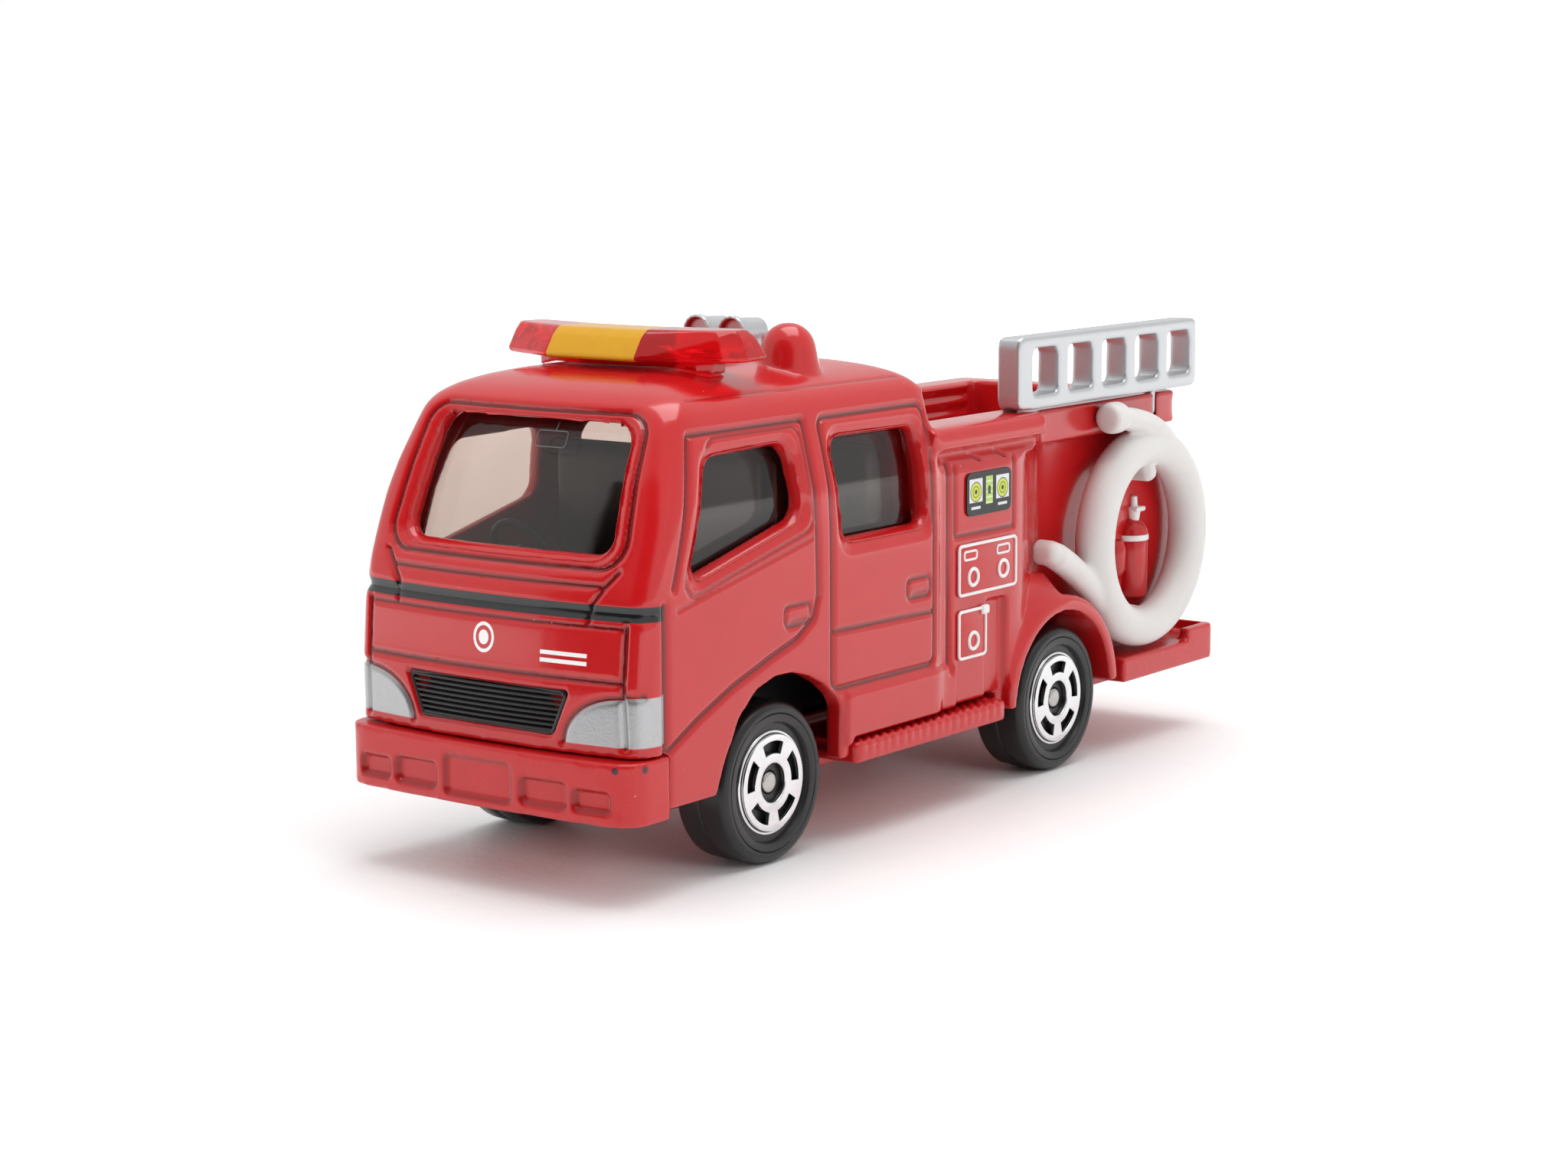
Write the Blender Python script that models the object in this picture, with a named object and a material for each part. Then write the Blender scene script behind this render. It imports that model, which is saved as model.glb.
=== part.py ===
"""Toy fire engine: die-cast body, plastic base, sprung wheelsets and clip-on equipment.

Frame: metres, +Z up, the vehicle's front faces -Y, its left side is +X, and the origin lies on the
ground under the middle of the vehicle's box.
"""
import math

import bmesh
import bpy
from mathutils import Matrix, Vector

MM = 0.001

# ---- driving dimensions, millimetres ----
TYRE_R = 5.5
WHEEL_OUT = 11.83            # outer face of a wheel
WHEEL_WIDTH = 4.2
FRONT_AXLE_Y = -20.85
REAR_AXLE_Y = 14.885
AXLE_R = 0.774
AXLE_HALF = 11.5

CAB_HALF = 12.43             # half width at the waist
CAB_BASE_Z = 5.9
CAB_REAR_Y = -1.63
ROOF_START_Z = 29.6
ROOF_RISE = 3.5
ROOF_REAR_DROP = 0.5
WALL = 1.4
BUMPER_TOP = 9.45

BODY_HALF = 12.0             # pump section behind the cab
RECESS_HALF = 8.7            # wall behind the hose
RIM_HALF = 10.3
RIM_LOW_Z = 24.75
RIM_TOP_Z = 27.3
BODY_REAR_Y = 36.9           # foot of the sloping tail
RIM_REAR_Y = 35.0
REAR_HALF = 9.2              # half width at the tail
BED_HALF = 7.6
BED_FLOOR_Z = 22.6

TRAY_LOW = 4.0
TRAY_FLOOR = 4.65
TRAY_TOP = 8.0
TRAY_HALF = 7.2
STEP_REAR_Y = 37.7
STEP_FRONT_Y = 23.5
CLEAR = 0.1                  # air between touching pieces

BOARD_HALF = 12.8            # running boards
BOARD_FRONT_Y = -12.7
BOARD_REAR_Y = 6.4
BOARD_LOW = 5.4
BOARD_TOP = 6.9
SILL_LOW = 7.3
STEP_TOP = 8.25
LIP_FRONT_Y = 33.6           # ahead of this the step has no outer lip, to clear the hose
STEP_FLOOR = 7.3
BUMPER_LOW = 5.3
LEDGE_TOP = 27.5

DOME_X, DOME_Y, DOME_R = 6.7, -12.2, 2.0
SIREN_X = (-3.9, -0.8)
SIREN_Y = -7.3
BAR_LOW, BAR_TOP = 33.35, 35.45
GLASS_LOW = 19.0
WHEEL_X = -5.0               # steering wheel, right-hand drive
LADDER_PEG_X, LADDER_PEG_R, LADDER_PEG_Y = 9.8, 0.42, (10.9, 31.5)
PEG_R = 0.6
RIVETS = ((0.0, -0.9), (0.0, 29.5))
RIVET_R = 1.1
RIVET_HEAD = 0.65            # the heads lie in counterbores, flush with the tray

HOSE_CENTRE = (11.2, 28.1, 16.3)
HOSE_R = 7.15
HOSE_TUBE = 1.55
HOSE_PEGS = ((28.1, 22.4), (28.1, 10.2))


def profile(table, z):
    """Straight interpolation in a short list of (height, value) pairs."""
    if z <= table[0][0]:
        return table[0][1]
    for (z0, v0), (z1, v1) in zip(table, table[1:]):
        if z <= z1:
            return v0 + (v1 - v0) * (z - z0) / (z1 - z0)
    return table[-1][1]


CAB_WIDTH = [(5.9, 12.3), (10, 12.4), (20, 12.45), (22.5, 12.42), (24.65, 12.3), (26.8, 11.85), (29.6, 11.15)]
CAB_FRONT = [(5.9, -36.0), (9.6, -36.3), (13.5, -36.35), (18, -35.95), (20.4, -35.4), (23.5, -34.26),
             (26.5, -33.15), (28.5, -32.16), (29.6, -31.6), (33.1, -29.8)]

scene_objects = list(bpy.data.objects)
for old in scene_objects:
    bpy.data.objects.remove(old, do_unlink=True)

parts = bpy.data.collections.new("toy_fire_engine")
cutters = bpy.data.collections.new("cutters")
bpy.context.scene.collection.children.link(parts)
bpy.context.scene.collection.children.link(cutters)


# ---------------------------------------------------------------- helpers
def material(name, colour, roughness, metallic=0.0):
    mat = bpy.data.materials.new(name)
    mat.use_nodes = True
    shader = mat.node_tree.nodes["Principled BSDF"]
    shader.inputs["Base Color"].default_value = (*colour, 1.0)
    shader.inputs["Roughness"].default_value = roughness
    shader.inputs["Metallic"].default_value = metallic
    return mat


def place(bm, name, mat=None, cutter=False):
    """Turn a bmesh drawn in millimetres into an object in metres."""
    bmesh.ops.transform(bm, matrix=Matrix.Scale(MM, 4), verts=bm.verts)
    bmesh.ops.recalc_face_normals(bm, faces=bm.faces)
    mesh = bpy.data.meshes.new(name)
    bm.to_mesh(mesh)
    bm.free()
    ob = bpy.data.objects.new(name, mesh)
    (cutters if cutter else parts).objects.link(ob)
    if cutter:
        ob.hide_render = True
        ob.display_type = "WIRE"
    else:
        mesh.materials.append(mat)
    return ob


def box(low, high, name="cutter", mat=None, bevel=0.0, segments=2, edges=None):
    bm = bmesh.new()
    bmesh.ops.create_cube(bm, size=1.0)
    low, high = Vector(low), Vector(high)
    bmesh.ops.scale(bm, vec=high - low, verts=bm.verts)
    bmesh.ops.translate(bm, vec=(low + high) / 2, verts=bm.verts)
    if bevel:
        picked = [e for e in bm.edges if edges is None or edges(*(v.co for v in e.verts))]
        bmesh.ops.bevel(bm, geom=picked, offset=bevel, segments=segments, affect="EDGES", profile=0.5)
    return place(bm, name, mat, cutter=mat is None)


def cylinder(start, end, radius, name="cutter", mat=None, sides=24, end_radius=None):
    start, end = Vector(start), Vector(end)
    bm = bmesh.new()
    bmesh.ops.create_cone(bm, cap_ends=True, segments=sides, radius1=radius,
                          radius2=radius if end_radius is None else end_radius, depth=(end - start).length)
    turn = (end - start).to_track_quat("Z", "Y").to_matrix().to_4x4()
    bmesh.ops.transform(bm, matrix=Matrix.Translation((start + end) / 2) @ turn, verts=bm.verts)
    return place(bm, name, mat, cutter=mat is None)


def rounded(points, radius, steps=3):
    """Round the corners of a closed outline; radius is one value or one per point."""
    out = []
    count = len(points)
    for i, here in enumerate(points):
        r = radius[i] if isinstance(radius, (list, tuple)) else radius
        here = Vector(here)
        if r <= 0:
            out.append(here)
            continue
        back = (Vector(points[i - 1]) - here).normalized()
        ahead = (Vector(points[(i + 1) % count]) - here).normalized()
        half = back.angle(ahead) / 2
        reach = r / math.tan(half)
        centre = here + (back + ahead).normalized() * (r / math.sin(half))
        a = here + back * reach - centre
        b = here + ahead * reach - centre
        for k in range(steps + 1):
            t = k / steps
            arm = (a * (1 - t) + b * t).normalized() * r
            out.append(centre + arm)
    return out


def prism(outline, axis, low, high, name="cutter", mat=None):
    """Extrude a flat outline along X, Y or Z between two positions."""
    spread = {"X": lambda p, d: (d, p[0], p[1]), "Y": lambda p, d: (p[0], d, p[1]),
              "Z": lambda p, d: (p[0], p[1], d)}[axis]
    bm = bmesh.new()
    face = bm.faces.new([bm.verts.new(spread(p, low)) for p in outline])
    grown = bmesh.ops.extrude_face_region(bm, geom=[face])
    moved = [v for v in grown["geom"] if isinstance(v, bmesh.types.BMVert)]
    bmesh.ops.translate(bm, vec=Vector(spread((0, 0), high - low)), verts=moved)
    return place(bm, name, mat, cutter=mat is None)


def loft(rings, name="cutter", mat=None):
    """Join closed rings of equal count with quads and cap both ends."""
    bm = bmesh.new()
    rows = [[bm.verts.new(p) for p in ring] for ring in rings]
    for low, high in zip(rows, rows[1:]):
        for i in range(len(low)):
            j = (i + 1) % len(low)
            bm.faces.new((low[i], low[j], high[j], high[i]))
    bm.faces.new(rows[0][::-1])
    bm.faces.new(rows[-1])
    return place(bm, name, mat, cutter=mat is None)


def turned(outline, centre, name="cutter", mat=None, sides=48):
    """Turn a closed (along X, radius) outline about the X axis through centre."""
    bm = bmesh.new()
    verts = [bm.verts.new((x, 0, r)) for x, r in outline]
    geom = verts + [bm.edges.new((verts[i - 1], verts[i])) for i in range(len(verts))]
    bmesh.ops.spin(bm, geom=geom, cent=(0, 0, 0), axis=(1, 0, 0), angle=2 * math.pi, steps=sides,
                   use_merge=True)
    bmesh.ops.remove_doubles(bm, verts=bm.verts, dist=1e-4)
    bmesh.ops.translate(bm, vec=centre, verts=bm.verts)
    return place(bm, name, mat, cutter=mat is None)


def combine(target, others, operation):
    """Apply one Boolean for each other object, then drop it."""
    for other in others:
        mod = target.modifiers.new("bool", "BOOLEAN")
        mod.operation = operation
        mod.solver = "EXACT"
        mod.object = other
        graph = bpy.context.evaluated_depsgraph_get()
        mesh = bpy.data.meshes.new_from_object(target.evaluated_get(graph))
        target.modifiers.clear()
        old = target.data
        target.data = mesh
        bpy.data.meshes.remove(old)
        bpy.data.objects.remove(other, do_unlink=True)
    return target


def mirrored(ob):
    """A copy of a cutter on the other side of the vehicle."""
    bm = bmesh.new()
    bm.from_mesh(ob.data)
    bmesh.ops.scale(bm, vec=(-1, 1, 1), verts=bm.verts)
    bmesh.ops.scale(bm, vec=(1 / MM, 1 / MM, 1 / MM), verts=bm.verts)
    return place(bm, ob.name, None, cutter=True)


def finish(ob, angle=35):
    mesh = ob.data
    bm = bmesh.new()
    bm.from_mesh(mesh)
    bmesh.ops.remove_doubles(bm, verts=bm.verts, dist=2e-6)
    bmesh.ops.dissolve_limit(bm, angle_limit=math.radians(0.5), verts=bm.verts, edges=bm.edges)
    bmesh.ops.triangulate(bm, faces=bm.faces)
    bm.to_mesh(mesh)
    bm.free()
    mesh.shade_smooth()
    mesh.set_sharp_from_angle(angle=math.radians(angle))
    return ob


# ---------------------------------------------------------------- cab shape
def cab_section(z, inset=0.0, top_inset=0.0):
    """Level outline of the cab at one height, drawn inset from the outer skin."""
    rise = ROOF_RISE - top_inset
    s = min(1.0, max(0.0, (z - ROOF_START_Z) / rise))
    half = profile(CAB_WIDTH, z) - 11.15 * (1 - (1 - s ** 2.3) ** (1 / 2.3)) - inset
    front = profile(CAB_FRONT, z) + 13.0 * (1 - (1 - s ** 3) ** (1 / 3)) + inset
    rear = CAB_REAR_Y - 12.0 * (1 - (1 - s ** 3) ** (1 / 3)) - inset
    half = max(half, 1.2)
    bow = 0.95 * half / 11
    corner = min(1.7, half * 0.45)
    back = min(0.8, half * 0.3)
    points = []
    flat = half - corner
    for k in range(5):
        x = flat * k / 5
        points.append((x, front + bow * (x / half) ** 2))
    front_side = front + bow * (flat / half) ** 2
    for k in range(5):
        a = math.pi / 2 * k / 4
        points.append((flat + corner * math.sin(a), front_side + corner * (1 - math.cos(a))))
    for k in range(3):
        a = math.pi / 2 * k / 2
        points.append((half - back * (1 - math.cos(a)), rear - back + back * math.sin(a)))
    points.append((0, rear))
    drop = ROOF_REAR_DROP * s
    ring = []
    for x, y in points + [(-x, y) for x, y in points[-2:0:-1]]:
        ring.append((x, y, z - drop * max(0.0, (y + 20) / 18)))
    return ring


def cab_levels(low, top_inset=0.0):
    levels = [low] + [z for z in (9.6, 13.5, 18, 20.4, 22.5, 24.65, 26.8, 28.5) if z > low] + [ROOF_START_Z]
    rise = ROOF_RISE - top_inset
    return levels + [ROOF_START_Z + rise * s for s in (0.25, 0.45, 0.62, 0.76, 0.87, 0.95, 0.99, 1.0)]


def cab_solid(inset=0.0, low=CAB_BASE_Z, top_inset=0.0, **kwargs):
    return loft([cab_section(z, inset, top_inset) for z in cab_levels(low, top_inset)], **kwargs)


SIDE_FRONT_WINDOW = rounded([(-27.2, 27.6), (-30.0, 20.2), (-18.1, 23.1), (-18.5, 27.8)], [1.2, 0.6, 1.2, 1.2])
SIDE_REAR_WINDOW = rounded([(-13.8, 27.7), (-13.2, 21.0), (-3.4, 21.0), (-3.7, 27.6)], 0.9)
WINDSCREEN = rounded([(-8.0, 29.9), (-8.7, 22.0), (8.7, 22.0), (8.0, 29.9)], [1.3, 1.0, 1.0, 1.3])
FRONT_ARCH = [(-28.0, 4.5), (-27.4, 6.2), (-26.7, 7.9), (-25.3, 10.6), (-23.4, 12.2), (-21.3, 12.8),
              (-19.3, 12.75), (-17.4, 12.2), (-15.8, 11.4), (-14.5, 10.4), (-13.95, 9.6), (-13.95, 4.5)]
ARCH_R = 6.75


def rear_outline(lower_half, sweep_start, sweep_end, rear_y, rear_half, front_y=-3.0):
    """Plan of the rear body: full width at the pump panel, then drawn in beside the hose."""
    half = [(0, front_y), (BODY_HALF, front_y), (BODY_HALF, sweep_start)]
    for k in range(1, 8):
        t = k / 8
        ease = t * t * (3 - 2 * t)
        half.append((BODY_HALF + (lower_half - BODY_HALF) * ease, sweep_start + (sweep_end - sweep_start) * t))
    half += [(lower_half, sweep_end), (rear_half, rear_y - 3.0), (rear_half, rear_y - 0.6), (rear_half - 0.6, rear_y),
             (0, rear_y)]
    return half + [(-x, y) for x, y in half[-2:0:-1]]


# ---------------------------------------------------------------- materials
RED = material("red_enamel", (0.52, 0.02, 0.015), 0.22)
BASE_RED = material("base_red", (0.48, 0.02, 0.015), 0.32)
SMOKE = material("smoked_clear", (0.10, 0.09, 0.08), 0.08)
BLACK = material("black_plastic", (0.012, 0.012, 0.013), 0.35)
CLEAR_RED = material("clear_red", (0.62, 0.02, 0.02), 0.08)
SILVER = material("silver_plastic", (0.55, 0.56, 0.57), 0.35, 0.6)
WHITE = material("white_plastic", (0.80, 0.79, 0.77), 0.5)
STEEL = material("steel", (0.55, 0.54, 0.52), 0.3, 1.0)
SPRING = material("spring_strip", (0.05, 0.05, 0.05), 0.4)
LABEL = material("gauge_label", (0.02, 0.03, 0.02), 0.5)


# ---------------------------------------------------------------- die-cast body
def fender():
    """Round wheel housing: a tight shoulder behind the wheel and a wide flare ahead of it."""
    centre = (0, REAR_AXLE_Y, TYRE_R)
    face, shoulder, rear_r, flare_r = 12.43, 12.1, 7.95, 9.6
    ring = turned([(-face, 5.0), (-face, 7.6), (-shoulder, rear_r), (shoulder, rear_r), (face, 7.6), (face, 5.0)],
                  centre)
    flare = turned([(-shoulder, 5.0), (-shoulder, rear_r), (-10.4, flare_r), (10.4, flare_r),
                    (shoulder, rear_r), (shoulder, 5.0)], centre)
    combine(flare, [box((-20, REAR_AXLE_Y, -20), (20, 40, 40))], "DIFFERENCE")
    return [ring, flare]


def dome():
    low = cylinder((DOME_X, DOME_Y, 31.0), (DOME_X, DOME_Y, 33.2), DOME_R + 0.4, end_radius=DOME_R + 0.05)
    barrel = cylinder((DOME_X, DOME_Y, 32.0), (DOME_X, DOME_Y, 33.5), DOME_R)
    cap = bmesh.new()
    bmesh.ops.create_uvsphere(cap, u_segments=24, v_segments=12, radius=DOME_R)
    bmesh.ops.translate(cap, vec=(DOME_X, DOME_Y, 33.46), verts=cap.verts)
    return [low, barrel, place(cap, "cutter", cutter=True)]


def body_casting():
    body = cab_solid(name="body_casting", mat=RED)
    lower = prism(rear_outline(RECESS_HALF, 8.3, 17.4, BODY_REAR_Y, REAR_HALF), "Z", SILL_LOW, RIM_LOW_Z + 0.5)
    rim = prism(rear_outline(RIM_HALF, 10.0, 15.0, RIM_REAR_Y, RIM_HALF), "Z", RIM_LOW_Z, RIM_TOP_Z)
    ledge_outline = rounded([(11.0, RIM_LOW_Z), (12.35, 25.9), (12.35, LEDGE_TOP), (8.0, LEDGE_TOP),
                             (8.0, RIM_LOW_Z)], [0, 0.25, 0.7, 0.3, 0])
    ledge = prism(ledge_outline, "Y", -2.5, 12.2)
    combine(body, [lower, rim, mirrored(ledge), ledge] + fender() + dome(), "UNION")

    bed_edges = lambda a, b: abs(a.z - b.z) > 1 or a.z + b.z < 60
    tail = [(RIM_REAR_Y, 30.0), (RIM_REAR_Y, 24.6), (BODY_REAR_Y, 22.4), (BODY_REAR_Y, 20.0), (42.0, 20.0), (42.0, 30.0)]
    undercut = [(13.5, 24.5), (12.05, 24.5), (11.2, 25.35), (11.7, 25.85), (13.5, 25.9)]
    notch = prism(undercut, "Y", CAB_REAR_Y, 20.0)
    removed = [prism(tail, "X", -15, 15), mirrored(notch), notch,
               box((-20, 5, -5), (20, 25, CAB_BASE_Z)),
               box((-20, 3, 0), (20, BOARD_REAR_Y + 0.35, SILL_LOW)),
               box((-20, STEP_FRONT_Y - CLEAR, 0), (20, 45, STEP_TOP + CLEAR)),
               box((-20, -12.8, 0), (20, 4, SILL_LOW)),
               cab_solid(inset=WALL, low=4.0, top_inset=1.3),
               box((-20, -40, 0), (20, -32.45, BUMPER_TOP + CLEAR)),
               box((-TRAY_HALF - 0.15, 1.2, 3), (TRAY_HALF + 0.15, 33.2, 21.0)),
               box((-TRAY_HALF - 0.15, -5, 0), (TRAY_HALF + 0.15, 1.3, TRAY_TOP + 0.3)),
               box((-BED_HALF, 1.2, BED_FLOOR_Z), (BED_HALF, 32.6, 40), bevel=0.5, edges=bed_edges),
               prism(WINDSCREEN, "Y", -40, -24),
               prism(SIDE_FRONT_WINDOW, "X", -15, 15), prism(SIDE_REAR_WINDOW, "X", -15, 15),
               prism(FRONT_ARCH, "X", -15, 15)]
    for side in (-1, 1):
        removed.append(cylinder((side * 7.3, REAR_AXLE_Y, TYRE_R), (side * 15, REAR_AXLE_Y, TYRE_R),
                                ARCH_R, sides=40))
        near, far = sorted((side * 11.4, side * 13.0))
        removed.append(box((near, 4.6, 4), (far, 7.3, 14.4)))
        for y, z in HOSE_PEGS:
            removed.append(cylinder((side * 6.5, y, z), (side * 9.5, y, z), PEG_R + 0.06, sides=12))
    for y in LADDER_PEG_Y:
        removed.append(cylinder((LADDER_PEG_X, y, 25.0), (LADDER_PEG_X, y, 30.0), LADDER_PEG_R + 0.06, sides=12))
    for x in SIREN_X:
        removed.append(cylinder((x, SIREN_Y, 30.0), (x, SIREN_Y, 36.0), PEG_R + 0.06, sides=12))
    combine(body, removed, "DIFFERENCE")
    posts = []
    for x, y in RIVETS:
        posts.append(cylinder((x, y, TRAY_LOW + 0.5), (x, y, 9.0 if y < 0 else 21.5), RIVET_R, sides=20))
        posts.append(cylinder((x, y, TRAY_LOW + 0.05), (x, y, TRAY_LOW + RIVET_HEAD), 1.3, end_radius=1.8, sides=20))
    combine(body, posts, "UNION")
    return finish(body)


# ---------------------------------------------------------------- red plastic base
def bumper_outline(half, front, rear, corner):
    """Bowed bumper plan with chamfered corners."""
    side = [(half * k / 6, front + 0.55 * (k / 6) ** 2) for k in range(6)]
    side += [(half - 1.1, front + 0.6), (half - 0.25, front + corner), (half, front + corner + 0.7), (half, rear)]
    return side + [(-x, y) for x, y in reversed(side[1:])]


def base_plate():
    base = box((-TRAY_HALF, -27.5, TRAY_LOW), (TRAY_HALF, 32.8, TRAY_TOP), "base_plate", BASE_RED)
    combine(base, [box((-TRAY_HALF + 0.9, -26.6, TRAY_FLOOR), (TRAY_HALF - 0.9, 31.9, 20))], "DIFFERENCE")
    joined = [prism(bumper_outline(12.45, -37.05, -32.55, 1.35), "Z", BUMPER_LOW, BUMPER_TOP),
              box((-TRAY_HALF, -33.5, 5.6), (TRAY_HALF, -26.8, TRAY_TOP))]
    for side in (-1, 1):
        board = rounded([(side * 6.5, BOARD_FRONT_Y), (side * BOARD_HALF, BOARD_FRONT_Y),
                         (side * BOARD_HALF, BOARD_REAR_Y), (side * 6.5, BOARD_REAR_Y)], [0, 0.5, 0.8, 0])
        joined.append(prism(board, "Z", BOARD_LOW, BOARD_TOP))
    for x, y in RIVETS:
        joined.append(cylinder((x, y, TRAY_LOW + 0.1), (x, y, TRAY_LOW + 1.5), 2.7, sides=28))
    step_edges = lambda a, b: abs(a.z - b.z) > 1 and a.y > 30
    joined.append(box((-CAB_HALF, STEP_FRONT_Y, BOARD_LOW), (CAB_HALF, STEP_REAR_Y, STEP_TOP), bevel=0.5,
                      edges=step_edges))
    combine(base, joined, "UNION")
    removed = [box((-CAB_HALF + 0.9, BODY_REAR_Y + 0.3, STEP_FLOOR), (CAB_HALF - 0.9, STEP_REAR_Y - 0.9, 12))]
    for side in (-1, 1):
        near, lip, far = (side * x for x in (RECESS_HALF + 0.2, CAB_HALF - 0.9, CAB_HALF + 1))
        removed.append(box((min(near, far), STEP_FRONT_Y - 1, STEP_FLOOR), (max(near, far), LIP_FRONT_Y, 12)))
        removed.append(box((min(near, lip), LIP_FRONT_Y - 1, STEP_FLOOR), (max(near, lip), BODY_REAR_Y + 0.5, 12)))
    slot = AXLE_R + 0.06
    for axle_y in (FRONT_AXLE_Y, REAR_AXLE_Y):
        removed.append(box((-9, axle_y - slot, TYRE_R - slot), (9, axle_y + slot, 12)))
    for x, y in RIVETS:
        removed.append(cylinder((x, y, 0), (x, y, 12), RIVET_R + CLEAR, sides=20))
        removed.append(cylinder((x, y, 0), (x, y, TRAY_LOW + RIVET_HEAD + CLEAR), 1.95, sides=24))
    combine(base, removed, "DIFFERENCE")
    return finish(base)


# ---------------------------------------------------------------- cab insides
def glazing():
    """One smoked moulding that lines the cab behind every window."""
    shell = cab_solid(inset=WALL + CLEAR, low=GLASS_LOW, top_inset=1.4, name="glazing", mat=SMOKE)
    combine(shell, [cab_solid(inset=WALL + 0.9, low=GLASS_LOW - 1, top_inset=2.2)], "DIFFERENCE")
    return finish(shell)


def interior_tub():
    """Seats, dashboard and floor in one black moulding."""
    floor_top = 14.2
    tub = box((-10.7, -32.0, 12.9), (10.7, -3.3, floor_top), "interior_tub", BLACK)
    joined = [box((-TRAY_HALF, -31.0, 8.1), (TRAY_HALF, -3.3, 13.2)),
              box((-9.4, -31.6, 13.5), (9.4, -28.6, 21.0), bevel=0.5, edges=lambda a, b: a.z + b.z > 40)]
    top_edges = lambda a, b: a.z + b.z > 50
    for low, high in (((0.9, -18.6, 13.5), (9.0, -16.2, 27.0)), ((-9.0, -18.6, 13.5), (-0.9, -16.2, 27.0)),
                      ((-9.0, -6.0, 13.5), (9.0, -4.1, 26.4))):
        joined.append(box(low, high, bevel=0.9, edges=top_edges))
    for low, high in (((0.9, -25.0, 13.5), (9.4, -17.0, 17.4)), ((-9.4, -25.0, 13.5), (-0.9, -17.0, 17.4)),
                      ((-9.4, -12.0, 13.5), (9.4, -4.5, 17.4))):
        joined.append(box(low, high, bevel=0.7, edges=lambda a, b: a.z + b.z > 33))
    combine(tub, joined, "UNION")
    combine(tub, [cylinder((WHEEL_X, -28.2, 19.5), (WHEEL_X, -31.0, 17.9), 0.56, sides=12)], "DIFFERENCE")
    return finish(tub)


def steering_wheel():
    centre, column_end = Vector((WHEEL_X, -26.6, 20.42)), Vector((WHEEL_X, -30.8, 18.02))
    bm = bmesh.new()
    rim_r, tube_r = 2.3, 0.32
    verts = [bm.verts.new((rim_r + tube_r * math.cos(a), 0, tube_r * math.sin(a)))
             for a in (math.tau * k / 8 for k in range(8))]
    geom = verts + [bm.edges.new((verts[i - 1], verts[i])) for i in range(8)]
    bmesh.ops.spin(bm, geom=geom, cent=(0, 0, 0), axis=(0, 0, 1), angle=math.tau, steps=28, use_merge=True)
    bmesh.ops.remove_doubles(bm, verts=bm.verts, dist=1e-4)
    turn = (centre - column_end).to_track_quat("Z", "Y").to_matrix().to_4x4()
    bmesh.ops.transform(bm, matrix=Matrix.Translation(centre) @ turn, verts=bm.verts)
    wheel = place(bm, "steering_wheel", BLACK)
    spoke = turn @ Vector((1, 0, 0)) * 2.3
    combine(wheel, [cylinder(column_end, centre + (centre - column_end) * 0.02, 0.5, sides=12),
                    cylinder(centre - spoke, centre + spoke, 0.28, sides=8)], "UNION")
    return finish(wheel)


# ---------------------------------------------------------------- equipment
def light_bar():
    """Swept-back clear bar on a narrower foot that follows the roof."""
    half = [(0, -25.35), (4.0, -25.3), (9.3, -22.9), (10.3, -21.4), (10.1, -19.0), (9.3, -18.3), (3.6, -20.1), (0, -20.3)]
    outline = half + [(-x, y) for x, y in half[-2:0:-1]]
    middle_y = -21.6

    def ring(z, shrink):
        return [(x * (1 - shrink / 10), y + (middle_y - y) * shrink / 2.4, z) for x, y in outline]

    bar = loft([ring(BAR_LOW, 0.25), ring(BAR_LOW + 0.25, 0.0), ring(BAR_TOP - 0.5, 0.55), ring(BAR_TOP, 0.95)],
               "light_bar", CLEAR_RED)
    foot = prism([(x * 0.72, middle_y + (y - middle_y) * 0.66) for x, y in outline], "Z", 30.0, BAR_LOW + 0.2)
    combine(foot, [cab_solid(inset=-CLEAR, low=25, top_inset=-CLEAR)], "DIFFERENCE")
    combine(bar, [foot], "UNION")
    return finish(bar)


def roof_siren():
    """Twin silver horns side by side on a short foot with two pegs."""
    front, rear, height, horn_r = SIREN_Y - 1.7, SIREN_Y + 1.6, 34.1, 1.1
    foot = box((SIREN_X[0] - 0.9, SIREN_Y - 0.8, 30.5), (SIREN_X[1] + 0.9, SIREN_Y + 0.8, height), "roof_siren", SILVER)
    joined = []
    for x in SIREN_X:
        joined.append(cylinder((x, front + 0.5, height), (x, rear, height), horn_r, end_radius=0.95))
        joined.append(cylinder((x, front, height), (x, front + 0.6, height), horn_r + 0.12))
    combine(foot, joined, "UNION")
    combine(foot, [cab_solid(inset=-CLEAR, low=25, top_inset=-CLEAR)], "DIFFERENCE")
    combine(foot, [cylinder((x, SIREN_Y, 31.95), (x, SIREN_Y, height), PEG_R, sides=12) for x in SIREN_X], "UNION")
    combine(foot, [cylinder((x, front - 1, height), (x, front + 0.5, height), horn_r - 0.1) for x in SIREN_X],
            "DIFFERENCE")
    return finish(foot)


def ladder():
    x0, x1, y0, y1, z0, z1 = 9.3, 11.3, 9.9, 36.2, LEDGE_TOP + 0.1, 33.0
    frame = box((x0, y0, z0), (x1, y1, z1), "ladder", SILVER, bevel=0.6,
                edges=lambda a, b: abs(a.x - b.x) > 1)
    pitch, width, first = 4.95, 3.55, 11.85
    holes = []
    for k in range(5):
        low = first + pitch * k
        holes.append(prism(rounded([(low, z0 + 1.05), (low + width, z0 + 1.05), (low + width, z1 - 0.9),
                                    (low, z1 - 0.9)], 0.4, 2), "X", 5, 15))
    combine(frame, holes, "DIFFERENCE")
    combine(frame, [cylinder((LADDER_PEG_X, y, 25.6), (LADDER_PEG_X, y, z0 + 0.3), LADDER_PEG_R, sides=12)
                    for y in LADDER_PEG_Y], "UNION")
    return finish(frame)


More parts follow.
